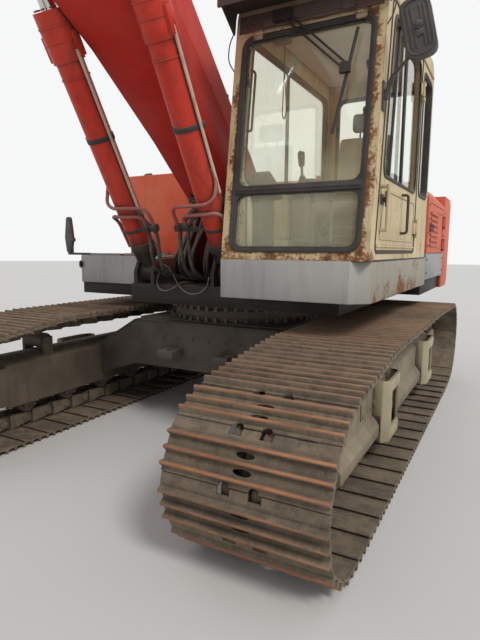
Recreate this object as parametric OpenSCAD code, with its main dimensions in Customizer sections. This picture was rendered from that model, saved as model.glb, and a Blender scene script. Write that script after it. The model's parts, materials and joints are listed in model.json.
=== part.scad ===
// Crawler excavator, millimetres. Z is up, the front is -Y, the driver's left (the cab side) is +X.
// Every module is written about the slewing axis, and the whole machine is moved back by slew_y at the end.
// A side view is drawn in (y, z) and given its width along x.

/* [Tracks] */
// Distance between the centre lines of the two tracks
gauge = 2600; // [2500:10:2700]
// Width of a track shoe
shoe_w = 800; // [600:10:850]
// Front idler, from the slewing axis to the front
idler_reach = 2120; // [2050:10:2300]
// Rear sprocket, from the slewing axis to the rear
sprocket_reach = 1900; // [1850:10:2100]
// Height of the sprocket's axle
sprocket_z = 470; // [455:1:500]
// Radius over the lugs at the idler
idler_r = 430; // [410:1:440]
// Radius over the lugs at the sprocket
sprocket_r = 440; // [425:1:450]
// Top of the track's upper run
track_top = 950; // [935:1:960]
// Nominal length of one shoe
shoe_pitch = 216; // [200:1:240]
// Thickness of the shoe's plate
plate_t = 14; // [10:1:18]
// Height of the lugs on a shoe
lug_h = 30; // [20:1:36]
// Thickness of a lug at its tip
lug_t = 18; // [12:1:24]
// From the chain's pins out to the shoe plate
link_out = 65; // [55:1:70]
// From the chain's pins in to the rail that the rollers run on
link_in = 52; // [40:1:56]
// Half the space between a chain's two rows of links
link_gap = 50; // [42:1:56]
// Thickness of a row of links
link_t = 50; // [30:1:56]
// Radius of the bottom rollers
roller_r = 95; // [85:1:100]
// Number of bottom rollers on a side
roller_n = 8; // [7:1:9]
// Radius of the carrier rollers
carrier_r = 70; // [60:1:75]
// Front carrier roller, from the slewing axis to the front
carrier_front = 1350; // [1200:10:1400]
// Rear carrier roller, from the slewing axis to the rear
carrier_rear = 700; // [600:10:800]

/* [Track frames and carbody] */
// Width of a track frame
side_w = 350; // [330:2:360]
// Top of the track frame
side_top = 640; // [620:5:650]
// Lower edge of the track frame's side walls
side_low = 255; // [245:1:280]
// Top of the carbody
carbody_top = 890; // [870:2:900]
// Half the width of the carbody's middle box
carbody_half = 700; // [670:10:760]
// Radius of the slewing ring
ring_r = 655; // [640:1:665]
// Height of each race of the slewing ring
race_h = 88; // [80:1:96]
// Radius of the tie-down eyes in the carbody
tie_eye_r = 30; // [25:1:34]
// How far a step bracket stands out from the track frame
step_out = 110; // [100:2:130]

/* [House] */
// Width of the house over its sides
house_w = 3000; // [2900:10:3040]
// Thickness of the revolving frame's deck
deck_t = 150; // [120:2:170]
// Height of the skirt above the deck
skirt_h = 214; // [190:2:230]
// How far the skirts hang below the top of the deck
skirt_drop = 45; // [40:5:60]
// Front of the cab's base, from the slewing axis
base_front = 1310; // [1306:1:1330]
// Front of the right deck, from the slewing axis
right_front = 680; // [640:10:760]
// Rear of the engine house, from the slewing axis
shell_rear = 2150; // [2120:5:2180]
// Front of the engine house, from the slewing axis
shell_front = 880; // [860:5:950]
// Top of the engine house above the skirt
shell_h = 720; // [680:10:760]
// Wall of the engine house and of its doors
sheet = 30; // [20:1:40]
// Tail radius of the counterweight
tail_r = 3100; // [3060:10:3140]
// Height of the counterweight
weight_h = 1060; // [1000:10:1100]

/* [Cab] */
// Width of the cab
cab_w = 1000; // [980:5:1010]
// Height of the cab above its base
cab_h = 1696; // [1650:2:1720]
// Rear of the cab, from the slewing axis
cab_rear = 750; // [720:5:790]
// Lean of the windscreen from upright, in degrees
cab_rake = 7.8; // [6:0.1:9]
// Wall of the cab and of its door
cab_wall = 50; // [44:1:60]
// Rear edge of the door, behind the slewing axis
door_rear = 140; // [100:5:180]
// Height of the door's window sill above the cab's base
sill_h = 520; // [480:5:560]
// Clearance round the doors and lids
door_gap = 6; // [5:0.5:9]
// Thickness of the glass
glass_t = 6; // [5:1:8]
// Width of the rubber seals round the glass
seal_w = 28; // [20:1:34]

/* [Boom] */
// Boom foot pin, above the ground
foot_z = 1720; // [1700:1:1740]
// Width of the boom
boom_w = 490; // [470:2:500]
// Wall of the boom's box
boom_wall = 25; // [18:1:30]
// Radius of the boom's foot and stick pins
main_pin_r = 55; // [45:1:60]
// Length of the boom cylinders between their pins, as parked
boom_cyl_len = 2500; // [2450:5:2550]
// Lean of the boom cylinders from upright, in degrees
boom_cyl_lean = 30.75; // [28:0.25:33]
// Centre lines of the boom cylinders, from the middle of the machine
boom_cyl_x = 370; // [364:1:376]

/* [Stick and bucket] */
// Stick pivot to bucket pivot
stick_len = 2732; // [2700:1:2760]
// Lean of the stick from upright, in degrees
stick_lean = 7.87; // [7:0.01:9]
// Width of the stick
stick_w = 300; // [290:2:304]
// Wall of the stick's box
stick_wall = 20; // [16:1:25]
// Width of the bucket
bucket_w = 1200; // [1000:10:1400]
// Depth of the bucket under its pivot
bucket_drop = 1055; // [1000:5:1058]
// Plate of the bucket's sides and shell
bucket_plate = 25; // [18:1:30]
// Number of bucket teeth
tooth_n = 5; // [4:1:6]
// Radius of the pins in the bucket's linkage
link_pin_r = 40; // [32:1:44]

/* [Cylinders] */
// Radius of the boom cylinders' barrels
barrel_r = 92; // [86:1:96]
// Radius of the cylinders' rods
rod_r = 52; // [44:1:56]
// Radius of the bucket cylinder's barrel
small_barrel_r = 78; // [74:1:84]

/* [Hidden] */
$fn = 48;
// Running clearance at pins, rods and bearings
fit = 0.3;
// Smallest clearance between pieces that pass each other
clear = 6;
// Depth that a cut runs past a face
over = 10;

// Heights in the house
deck_low = carbody_top + 2 * race_h + fit;
deck_top = deck_low + deck_t;
floor_z = deck_top + skirt_h;
skirt_low = deck_top - skirt_drop;
shell_top = floor_z + shell_h;

// Pivots in the side view, as [y, z]
foot = [-100, foot_z];
cyl_base = [-930, deck_top + 96];
boom_eye = cyl_base + boom_cyl_len * [-sin(boom_cyl_lean), cos(boom_cyl_lean)];
stick_pin = [-5974, 3766];
stick_cyl_base = [-2950, 4330];
stick_up = [-sin(stick_lean), cos(stick_lean)];
stick_fore = [-cos(stick_lean), -sin(stick_lean)];
bucket_pin = stick_pin - stick_len * stick_up;
rocker_pin = stick_at(426, 111);
stick_eye = stick_at(stick_len + 677, 426);
bucket_cyl_base = stick_at(2350, 410);
rocker_eye = rocker_pin + [-560, -11];
bucket_eye = bucket_pin + [-425, -75];

// The machine's front end is this corner of the stick's tail, its rear end the counterweight
tail_corner = [720, 520];
front_reach = -stick_at(stick_len + tail_corner[0], tail_corner[1])[0];
// The slewing axis lies this far behind the middle of the machine's length
slew_y = (front_reach - tail_r) / 2;

// A point on the stick, from the bucket pivot: u along the stick, v towards the front
function stick_at(u, v) = bucket_pin + u * stick_up + v * stick_fore;
function arc(c, r, a0, a1, n) = [for (i = [0:n])
  c + r * [cos(a0 + (a1 - a0) * i / n), sin(a0 + (a1 - a0) * i / n)]];
function bearing(a, b) = atan2(b[1] - a[1], b[0] - a[0]);
// The outline with its corners turned round, each over the length r of both its sides
function rounded(points, r) = [
  for (i = [0:len(points) - 1], k = [0:4])
    points[i] + r * (1 - k / 4) * (1 - k / 4) * toward(points, i, -1)
      + r * k * k / 16 * toward(points, i, 1)
];
function toward(points, i, q) = let (run = points[(i + q + len(points)) % len(points)] - points[i])
  run / norm(run);

// A side view in (y, z), given its width from x0 to x1
module side(points, x0, x1) {
  translate([x0, 0, 0]) rotate([90, 0, 90]) linear_extrude(x1 - x0) polygon(points);
}

// The same side view on the left and on the right, from x0 to x1 off the middle
module side_pair(points, x0, x1) {
  for (s = [-1, 1]) side(points, min(s * x0, s * x1), max(s * x0, s * x1));
}

// A round bar along x through the point [y, z]
module bar(at, r, x0, x1) {
  translate([x0, at[0], at[1]]) rotate([0, 90, 0]) cylinder(r = r, h = x1 - x0);
}

module bar_pair(at, r, x0, x1) {
  for (s = [-1, 1]) bar(at, r, min(s * x0, s * x1), max(s * x0, s * x1));
}

module box(x, y, z) {
  translate([x[0], y[0], z[0]]) cube([x[1] - x[0], y[1] - y[0], z[1] - z[0]]);
}

// A round rod between two points [x, y, z]
module strut(a, b, r) {
  run = b - a;
  translate(a) rotate([0, acos(run[2] / norm(run)), atan2(run[1], run[0])]) cylinder(r = r, h = norm(run));
}

// Stands a shape drawn along +Z at the point "at" and leans it along the line to the point "to"
module along(at, to, x = 0) {
  translate([x, at[0], at[1]]) rotate([bearing(at, to) - 90, 0, 0]) children();
}

/* Track: the pin line is a belt round the wheels [y, z, radius of the pin line], taken in turn */
stack = link_out + plate_t + lug_h;
ground_pin_z = stack;
roller_z = ground_pin_z + link_in + roller_r;
carrier_z = track_top - stack - link_in - carrier_r;
last_roller = sprocket_reach - 450;
first_roller = -idler_reach + 560;
wheels = [
  [-idler_reach, idler_r, idler_r - stack],
  [last_roller, roller_z, roller_r + link_in],
  [sprocket_reach, sprocket_z, sprocket_r - stack],
  [carrier_rear, carrier_z, carrier_r + link_in],
  [-carrier_front, carrier_z, carrier_r + link_in]
];
wheel_n = len(wheels);
function wheel(i) = wheels[(i + wheel_n) % wheel_n];
function spot(w) = [w[0], w[1]];
// Direction of the straight run that leaves wheel i, always turning left
function run_dir(i) = let (a = wheel(i), b = wheel(i + 1), d = norm(spot(b) - spot(a)),
  q = bearing(spot(a), spot(b)) + asin((a[2] - b[2]) / d)) q < -1 ? q + 360 : q;
function turn(i) = let (t = run_dir(i) - run_dir(i - 1)) t < 0 ? t + 360 : t;
function outward(a) = [sin(a), -cos(a)];
function arc_len(i) = wheel(i)[2] * turn(i) * PI / 180;
function run_len(i) = let (n = outward(run_dir(i)), a = wheel(i), b = wheel(i + 1))
  norm(spot(b) + b[2] * n - spot(a) - a[2] * n);
function loop_to(i) = i == 0 ? 0 : loop_to(i - 1) + arc_len(i - 1) + run_len(i - 1);
loop_len = loop_to(wheel_n);
shoe_n = round(loop_len / shoe_pitch);
// The pin line's point at the distance s, searched from wheel i on
function pin_at(s, i = 0) = let (in = s - loop_to(i), w = wheel(i))
  in <= arc_len(i) ? spot(w) + w[2] * outward(run_dir(i - 1) + in / w[2] * 180 / PI)
  : in <= arc_len(i) + run_len(i) || i == wheel_n - 1
    ? spot(w) + w[2] * outward(run_dir(i))
      + (in - arc_len(i)) * [cos(run_dir(i)), sin(run_dir(i))]
  : pin_at(s, i + 1);
pins = [for (i = [0:shoe_n - 1]) pin_at(loop_len * i / shoe_n)];
function pin(i) = pins[(i + shoe_n) % shoe_n];
function shoe_dir(i) = bearing(pin(i), pin(i + 1));
// A point of shoe i: u along the shoe from its middle, n outwards from the pin line
function on_shoe(i, u, n) = (pin(i) + pin(i + 1)) / 2
  + u * [cos(shoe_dir(i)), sin(shoe_dir(i))] + n * outward(shoe_dir(i));
// Where the inner faces of two neighbouring shoes meet, n out from the pins
function bend(i) = let (t = shoe_dir(i) - shoe_dir(i - 1)) (t + 540) % 360 - 180;
function joint_point(i, n) = let (m = shoe_dir(i - 1) + bend(i) / 2) pin(i) + n / cos(bend(i) / 2)
  * outward(m);
lug_places = [-shoe_pitch / 2 + 36, 0, shoe_pitch / 2 - 36];
lug_foot = lug_t + 14;
shoe_outline = [for (i = [0:shoe_n - 1], u = lug_places,
  k = [[-lug_foot / 2, 0], [-lug_t / 2, lug_h], [lug_t / 2, lug_h], [lug_foot / 2, 0]])
  on_shoe(i, u + k[0], link_out + plate_t + k[1])];
function inner_line(n) = [for (i = [0:shoe_n - 1]) if (abs(bend(i)) > 0.4) joint_point(i, n)];

module loop_band(outer, inner, x0, x1) {
  translate([x0, 0, 0]) rotate([90, 0, 90]) linear_extrude(x1 - x0) difference() {
    polygon(outer);
    polygon(inner);
  }
}

module track_at(s) {
  color("#6b5d50") {
    loop_band(shoe_outline, inner_line(link_out), s * gauge / 2 - shoe_w / 2, s * gauge / 2 + shoe_w / 2);
    for (q = [-1, 1])
      loop_band(inner_line(link_out + plate_t / 2), inner_line(-link_in),
        s * gauge / 2 + (q < 0 ? -link_gap - link_t : link_gap),
        s * gauge / 2 + (q < 0 ? -link_gap : link_gap + link_t));
  }
}

module wheel_pair(y, z) {
  for (s = [-1, 1]) translate([s * gauge / 2, y, z]) rotate([0, 90, 0]) children();
}

step_len = loop_len / shoe_n;
// The chain's rails are straight from pin to pin, so a wheel that they wrap is a little smaller
function rail_r(w) = w[2] * cos(step_len / 2 / w[2] * 180 / PI) - link_in;
// How far the chain cuts the corner over a roller where it only bends by the angle a
function corner(a) = step_len / 2 * tan(a / 2);
rail_idler_r = rail_r(wheels[0]);
rail_sprocket_r = rail_r(wheels[2]);

// Idler wheels: a rail running on the links and a guide rib between the rows
module idlers() {
  color("#8a7b66") wheel_pair(-idler_reach, idler_r) difference() {
    union() {
      cylinder(r = rail_idler_r - fit, h = 2 * (link_gap + link_t), center = true);
      cylinder(r = rail_idler_r + 30, h = 2 * (link_gap - clear), center = true);
      cylinder(r = 90, h = side_w - 2 * frame_wall, center = true);
    }
    for (z = [-1, 1]) translate([0, 0, z * (link_gap + link_t)])
      difference() {
        cylinder(r = rail_idler_r - 50, h = 60, center = true);
        cylinder(r = 120, h = 80, center = true);
      }
  }
}

tooth_count = 19;
tooth_h = 38;
// Sprockets: a toothed rim between the rows of links on a wide drum
module sprockets() {
  color("#7a6c58") wheel_pair(sprocket_reach, sprocket_z) {
    cylinder(r = rail_sprocket_r - fit, h = 2 * (link_gap + link_t), center = true);
    cylinder(r = 150, h = side_w - 2 * frame_wall, center = true);
    translate([0, 0, -link_gap + clear]) linear_extrude(2 * (link_gap - clear)) polygon([
      for (i = [0:tooth_count - 1], k = [[0, -6], [0.3, -6], [0.45, tooth_h], [0.85, tooth_h]])
        (rail_sprocket_r + k[1]) * [cos((i + k[0]) * 360 / tooth_count),
          sin((i + k[0]) * 360 / tooth_count)]
    ]);
  }
}

// Carrier rollers, as [y, place in the belt's table of wheels]
carriers = [[-carrier_front, 4], [carrier_rear, 3]];
cheek_x = link_gap + link_t + clear;
roller_step = (last_roller - first_roller) / (roller_n - 1);
// Bottom rollers and carrier rollers with their axles
module rollers() {
  color("#75675a") {
    for (i = [0:roller_n - 1]) wheel_pair(first_roller + i * roller_step, roller_z) {
      cylinder(r = roller_r - fit - (i == roller_n - 1 ? corner(turn(1)) : 0),
        h = 2 * (link_gap + link_t), center = true);
      cylinder(r = 32, h = side_w - 2 * frame_wall, center = true);
    }
    for (c = carriers) wheel_pair(c[0], carrier_z) {
      cylinder(r = carrier_r - fit - corner(turn(c[1])), h = 2 * (link_gap + link_t), center = true);
      cylinder(r = 30, h = 2 * cheek_x, center = true);
    }
  }
}

frame_wall = 30;
frame_front = -idler_reach + 330;
frame_rear = sprocket_reach - 330;
inner_side = gauge / 2 - side_w / 2;
outer_side = gauge / 2 + side_w / 2;
roof_low = roller_z + roller_r + 20;

// How far the outer wall's foot flares out
flare = 50;
// Track frame: a box over the rollers, open below, with a fork to the idler and arms to the sprocket
module track_frame(s) {
  color("#a3977c") translate([s * gauge / 2, 0, 0]) mirror([s < 0 ? 1 : 0, 0, 0]) {
    translate([0, frame_rear, 0]) rotate([90, 0, 0]) linear_extrude(frame_rear - frame_front)
      polygon([
        [-side_w / 2, side_low], [-side_w / 2, side_top - 60], [-60, side_top], [60, side_top],
        [side_w / 2, side_top - 60], [side_w / 2, side_low + flare_h],
          [side_w / 2 + flare, side_low + flare_h / 2],
        [side_w / 2 + flare, side_low], [side_w / 2 + flare - frame_wall, side_low],
        [side_w / 2 + flare - frame_wall, side_low + flare_h / 2 - 10],
          [side_w / 2 - frame_wall, side_low + flare_h - 10],
        [side_w / 2 - frame_wall, roof_low], [-side_w / 2 + frame_wall, roof_low],
        [-side_w / 2 + frame_wall, side_low]
      ]);
    for (q = [-1, 1]) {
      side_arm(q, frame_front, -idler_reach, idler_r);
      side_arm(q, frame_rear, sprocket_reach, sprocket_z);
    }
    for (c = carriers, q = [-1, 1]) {
      x = cheek_x * q;
      box([min(x, x + q * 30), max(x, x + q * 30)], [c[0] - 45, c[0] + 45],
        [side_top - 60, carrier_z + 35]);
    }
  }
}
flare_h = 130;

// One arm of the fork that holds a wheel at [at, z], from the frame's end, as tall as the wall there
module side_arm(q, end, at, z) {
  out = sign(at - end);
  x = q < 0 ? -side_w / 2 + 2 : side_w / 2 - frame_wall + 2;
  side([
    [end - out * 40, side_low + 8], [end - out * 40, side_top - 66], [at - out * 40, z + 130],
      [at + out * 130, z + 100],
    [at + out * 160, z], [at + out * 130, z - 100], [at - out * 40, z - 130]
  ], x, x + frame_wall - 4);
}

// Step brackets on the outer side of each track frame, as [front end, length]: two treads, one over the other
step_places = [[-930, 430], [780, 450]];
step_z = [200, 630];
step_t = 28;
tread_h = 85;
step_slope = 45;
// Plan of one bracket from the wall, set in by i
function step_plan(len, i) = [
  [i ? -over : 0, i], [step_out - step_slope, i], [step_out - i, step_slope],
    [step_out - i, len - 2 * step_slope],
  [step_out - step_slope, len - i], [i ? -over : 0, len - i]
];
module steps() {
  color("#a59a7c") for (s = [-1, 1], p = step_places)
    translate([s * outer_side, p[0], 0]) mirror([s < 0 ? 1 : 0, 0, 0]) difference() {
      translate([0, 0, step_z[0]]) linear_extrude(step_z[1] - step_z[0]) polygon(step_plan(p[1], 0));
      translate([0, 0, step_z[0] + step_t]) linear_extrude(step_z[1]) polygon(step_plan(p[1], step_t));
      // Clear of the flared foot of the wall
      box([-over, flare + 2], [-over, p[1] + over], [step_z[0] - over, side_low + flare_h]);
      // Open between the treads, at the side and at the rear
      box([flare, step_out + over], [tread_h + 10, p[1] - 70], [step_z[0] + tread_h, step_z[1] - tread_h]);
      box([flare + 10, step_out - 50], [p[1] / 2, p[1] + over], [step_z[0] + tread_h, step_z[1] - tread_h]);
    }
}

leg_y = 560;
// Tie-down eyes: flat lugs in front of the carbody, each with an upright hole
eye_places = [-260, 260];
eye_y = -leg_y - 300;
eye_z = 620;
eye_t = 60;
// Carbody: the middle box, two arched cross members and the tie-down eyes
module carbody() {
  color("#857a6b") {
    difference() {
      union() {
        box([-carbody_half, carbody_half], [-carbody_half, carbody_half], [500, carbody_top]);
        for (q = [-1, 1]) translate([0, q * leg_y + 220, 0]) rotate([90, 0, 0]) linear_extrude(440)
          polygon([
            [-inner_side, 330], [-inner_side, side_top - 20], [-carbody_half, carbody_top - 20],
            [carbody_half, carbody_top - 20], [inner_side, side_top - 20], [inner_side, 330],
            [carbody_half, 470], [-carbody_half, 470]
          ]);
        for (x = eye_places) box([x - 75, x + 75], [eye_y - 80, -leg_y],
          [eye_z - eye_t / 2, eye_z + eye_t / 2]);
      }
      for (x = eye_places) translate([x, eye_y, eye_z - eye_t]) cylinder(r = tie_eye_r, h = 2 * eye_t);
      translate([0, 0, 440]) cylinder(r = 330, h = 600);
    }
  }
}

module race(z, h, outer, inner) {
  translate([0, 0, z]) difference() {
    cylinder(r = outer, h = h, $fn = 96);
    translate([0, 0, -over]) cylinder(r = inner, h = h + 2 * over, $fn = 96);
  }
}

module slew_ring_lower() { color("#6f6559") race(carbody_top, race_h, ring_r, ring_r - 130); }
module slew_ring_upper() { color("#6f6559")
  race(carbody_top + race_h + fit, race_h, ring_r - 15, ring_r - 130); }

// House
half_house = house_w / 2;
boom_half = boom_w / 2;
bracket_x = boom_half + 18;
bracket_t = 32;
cyl_eye_w = 120;
cyl_in = boom_cyl_x - cyl_eye_w / 2;
cyl_out = boom_cyl_x + cyl_eye_w / 2;
lug_front = cyl_base[0] - 130;
// The cab stands this far outside the cylinder's outer lug
cab_gap = 32;
cab_x0 = cyl_out + clear + bracket_t + cab_gap;
cab_x1 = cab_x0 + cab_w;
// The frame stays this far inside the skirts, and further under the cab
frame_in = 40;
cab_frame_in = 240;

// Rear end of the revolving frame, inside the counterweight
frame_end = shell_rear + 150;
// Revolving frame: the deck, the brackets of the boom foot and the lugs of the boom cylinders
module revolving_frame() {
  color("#8d3a2c") {
    difference() {
      union() {
        box([-half_house + frame_in, cab_x1 - cab_frame_in], [-right_front + frame_in, shell_front + 1],
          [deck_low, deck_top]);
        box([-half_house + frame_in, half_house - frame_in], [shell_front, frame_end],
          [deck_low, deck_top]);
        box([-cyl_out - 60, cab_x0 - 10], [lug_front, 0], [deck_low, deck_top]);
        box([cab_x0 - 10, cab_x1 - cab_frame_in], [-base_front + cab_frame_in, 0], [deck_low, deck_top]);
        side_pair([
          [lug_front, deck_top], [lug_front, cyl_base[1]], [cyl_base[0] - 80, cyl_base[1] + 100],
          [cyl_base[0] + 150, cyl_base[1] + 110], [foot[0] - 330, foot[1] + 60],
            [foot[0] - 90, foot[1] + 170],
          [foot[0] + 110, foot[1] + 170], [foot[0] + 210, foot[1] + 40], [600, deck_top + 250],
            [shell_front - 20, deck_top]
        ], bracket_x, bracket_x + bracket_t);
        side_pair([
          [lug_front, deck_top], [lug_front, cyl_base[1]], [cyl_base[0] - 80, cyl_base[1] + 100],
          [cyl_base[0] + 80, cyl_base[1] + 100], [cyl_base[0] + 300, deck_top]
        ], cyl_out + clear, cyl_out + clear + bracket_t);
      }
      translate([0, 0, deck_low - over]) cylinder(r = ring_r - 200, h = deck_t + 2 * over);
    }
    bar(foot, main_pin_r, -bracket_x - bracket_t - 15, bracket_x + bracket_t + 15);
    bar_pair(cyl_base, link_pin_r, bracket_x + bracket_t / 2, cyl_out + clear + bracket_t + 15);
  }
}

skirt_t = 30;
base_corner = 110;
// Plan of the cab's base, set in by i
function base_plan(i) = [
  [cab_x0 - (i ? over : 0), -base_front + i], [cab_x1 - base_corner - i * 0.41, -base_front + i],
  [cab_x1 - i, -base_front + base_corner + i * 0.41],
  [cab_x1 - i, shell_front + (i ? over : 0)], [cab_x0 - (i ? over : 0), shell_front + (i ? over : 0)]
];
// Base under the cab: the grey skirt with the slanted outer corner, and a floor that lies on the frame
module cab_base() {
  color("#b3ac9d") difference() {
    translate([0, 0, skirt_low]) linear_extrude(floor_z - skirt_low) polygon(base_plan(0));
    translate([0, 0, deck_low]) linear_extrude(deck_t) polygon(base_plan(skirt_t));
    translate([0, 0, deck_top + 12]) linear_extrude(skirt_h - 12 - skirt_t) polygon(base_plan(skirt_t));
  }
}

// Right deck: a low platform with a skirt in front of the tank
module right_deck() {
  color("#b3ac9d") difference() {
    translate([0, 0, skirt_low]) linear_extrude(floor_z - skirt_low) polygon([
      [-half_house, shell_front], [-half_house, -right_front + 60], [-half_house + 60, -right_front],
      [-cyl_out - 70, -right_front], [-cyl_out - 70, shell_front]
    ]);
    box([-half_house + 30, -cyl_out - 60], [-right_front + 30, shell_front + over],
      [deck_low, floor_z - 30]);
  }
}

tank_front = 110;
tank_h = 840;
module fuel_tank() {
  color("#c2492c") difference() {
    box([-half_house, -cyl_out - 140], [tank_front, shell_front], [floor_z, floor_z + tank_h]);
    translate([-half_house + 150, tank_front + 150, floor_z + tank_h - 20]) cylinder(r = 60, h = 60);
  }
}

// Upright hinges: the pin stands off the face x = face, just in front of the edge y = edge
hinge_r = 14;
hinge_pin_r = 8;
hinge_h = 90;
hinge_ear = 26;
// Half the width of the ear's arm, which stays inside the circle that the panel sweeps
hinge_arm = hinge_pin_r + 3;
function hinge_at(face, edge) = [face + hinge_r + 2, edge - 20];

// The ears and pin on the fixed side
module hinge_ears(face, edge, z) {
  at = hinge_at(face, edge);
  for (low = [z - fit - hinge_ear, z + hinge_h + fit]) {
    box([at[0] - hinge_arm, at[0] + hinge_arm], [at[1] - hinge_pin_r, edge + 50], [low, low + hinge_ear]);
    box([face, at[0] + hinge_arm], [edge, edge + 50], [low, low + hinge_ear]);
  }
  translate([at[0], at[1], z - hinge_ear]) cylinder(r = hinge_pin_r, h = hinge_h + 2 * hinge_ear);
}

// The knuckle and its tab on the moving side
module hinge_knuckle(face, edge, z) {
  at = hinge_at(face, edge);
  difference() {
    union() {
      translate([at[0], at[1], z]) cylinder(r = hinge_r, h = hinge_h);
      box([face, at[0]], [edge - 90, at[1]], [z, z + hinge_h]);
    }
    translate([at[0], at[1], z - over]) cylinder(r = hinge_pin_r + fit, h = hinge_h + 2 * over);
  }
}

shoulder = 150;
door_hinge_z = [floor_z + 90, shell_top - 380];
hood_hinge_x = [-400, 400];
// Outline of the engine house across the machine, set in by i
function shell_outline(i) = [
  [-half_house + i, deck_top + i], [-half_house + i, shell_top - shoulder - i * 0.41],
  [-half_house + shoulder + i * 0.41, shell_top - i], [half_house - shoulder - i * 0.41, shell_top - i],
  [half_house - i, shell_top - shoulder - i * 0.41], [half_house - i, deck_top + i]
];
door_y = [shell_front + 90, shell_rear - 90];
door_z = [floor_z + 40, shell_top - shoulder - 40];
hood_x = 620;
hood_y = [shell_front + 90, shell_rear - 60];
lid_h = 90;

// Engine house: sheet panels round the engine, open for the service doors and the hood
module house_shell() {
  color("#b5482f") difference() {
    translate([0, shell_rear, 0]) rotate([90, 0, 0]) linear_extrude(shell_rear - shell_front)
      polygon(shell_outline(0));
    translate([0, shell_rear + over, 0]) rotate([90, 0, 0])
      linear_extrude(shell_rear - shell_front + over - sheet)
      polygon(shell_outline(sheet));
    box([-half_house - over, half_house + over], door_y, door_z);
    box([-hood_x, hood_x], hood_y, [shell_top - 2 * sheet, shell_top + over]);
  }
  color("#8d3a2c") {
    for (s = [-1, 1], z = door_hinge_z) mirror([s < 0 ? 1 : 0, 0, 0]) hinge_ears(half_house, door_y[1], z);
    for (x = hood_hinge_x) lid_ears(x);
  }
}

// Louvres: raised slats over the air openings of a service door
louvre_n = 7;
louvre_step = 52;
louvre_h = 24;
louvre_out = 14;
louvre_y = [shell_front + 170, shell_front + 640];
// Service door: the panel of one side, as thick as the wall, with its hinge bar
module service_door(s) {
  color("#b5482f") mirror([s < 0 ? 1 : 0, 0, 0]) {
    box([half_house - sheet, half_house], [door_y[0] + door_gap, door_y[1] - door_gap],
      [door_z[0] + door_gap, door_z[1] - door_gap]);
    for (i = [0:louvre_n - 1]) {
      z = door_z[0] + 70 + i * louvre_step;
      side([
        [louvre_y[0], z], [louvre_y[1], z], [louvre_y[1], z + louvre_h], [louvre_y[0], z + louvre_h]
      ], half_house - 1, half_house + louvre_out);
    }
    for (z = door_hinge_z) hinge_knuckle(half_house, door_y[1], z);
  }
}

// The hood turns about a line along x over its front edge
hood_axis = [hood_y[0] + door_gap, shell_top + lid_h + 20];
module lid_ears(x) {
  for (q = [0, 1]) translate([x - 60 + q * (90 + fit), 0, 0])
    side([
      [hood_y[0] - 90, shell_top], [hood_y[0] - 14, shell_top], [hood_y[0] - 14, hood_axis[1] - 14],
      [hood_axis[0] + 12, hood_axis[1] - 14], [hood_axis[0] + 12, hood_axis[1] + 12],
      [hood_y[0] - 40, hood_axis[1] + 12]
    ], 0, 30);
  bar(hood_axis, hinge_pin_r, x - 60, x + 60);
}
module lid_knuckle(x) {
  difference() {
    union() {
      bar(hood_axis, hinge_r, x - 30 + fit, x + 30 - fit);
      box([x - 30 + fit, x + 30 - fit], [hood_axis[0], hood_axis[0] + 60],
        [shell_top + lid_h - 1, hood_axis[1] + 4]);
    }
    bar(hood_axis, hinge_pin_r + fit, x - 40, x + 40);
  }
}

module hood() {
  color("#b5482f") {
    difference() {
      box([-hood_x + door_gap, hood_x - door_gap], [hood_y[0] + door_gap, hood_y[1] - door_gap],
        [shell_top - sheet, shell_top + lid_h]);
      box([-hood_x + door_gap + sheet, hood_x - door_gap - sheet],
        [hood_y[0] + door_gap + sheet, hood_y[1] - door_gap - sheet],
        [shell_top - 2 * sheet, shell_top + lid_h - sheet]);
    }
    for (x = hood_hinge_x) lid_knuckle(x);
  }
}

module engine_block() {
  color("#5d5a55") box([-750, 450], [1250, 1950], [deck_top + sheet, shell_top - 120]);
}

module exhaust() {
  color("#4a4441") translate([-850, 1500, shell_top]) difference() {
    cylinder(r = 60, h = 420);
    translate([0, 0, 60]) cylinder(r = 52, h = 400);
  }
}

// Slant of the counterweight's edges
weight_edge = 70;
// Counterweight: the tail of the house, round about the slewing axis
module counterweight() {
  color("#b5482f") translate([0, 0, deck_low]) difference() {
    intersection() {
      rotate_extrude($fn = 120) polygon([
        [0, 0], [tail_r - weight_edge, 0], [tail_r, weight_edge], [tail_r, weight_h - weight_edge],
        [tail_r - weight_edge, weight_h], [0, weight_h]
      ]);
      box([-half_house, half_house], [shell_rear + fit, tail_r], [-over, weight_h + over]);
    }
    box([-half_house + frame_in - fit, half_house - frame_in + fit], [0, frame_end + fit],
      [-over, deck_t + fit]);
    for (x = [-600, 600]) translate([x, shell_rear + 500, weight_h - 160]) cylinder(r = 40, h = 200);
  }
}

// Cab
rake_slope = tan(cab_rake);
roof_z = floor_z + cab_h;
// Radius of the roof's front and rear edges
roof_r = 130;
function front_y(z) = -base_front + 6 + (z - floor_z) * rake_slope;
// Side outline of the cab, set in by i
function cab_outline(i) = concat(
  [[front_y(floor_z + i) + i / cos(cab_rake), floor_z + i], [cab_rear - i, floor_z + i]],
  arc([cab_rear - roof_r, roof_z - roof_r], roof_r - i, 0, 90, 4),
  arc([front_y(roof_z - roof_r) + roof_r / cos(cab_rake), roof_z - roof_r], roof_r - i, 90, 180 - cab_rake,
    4)
);
// Front post between the windscreen and the door
door_front_gap = 120;
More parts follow.
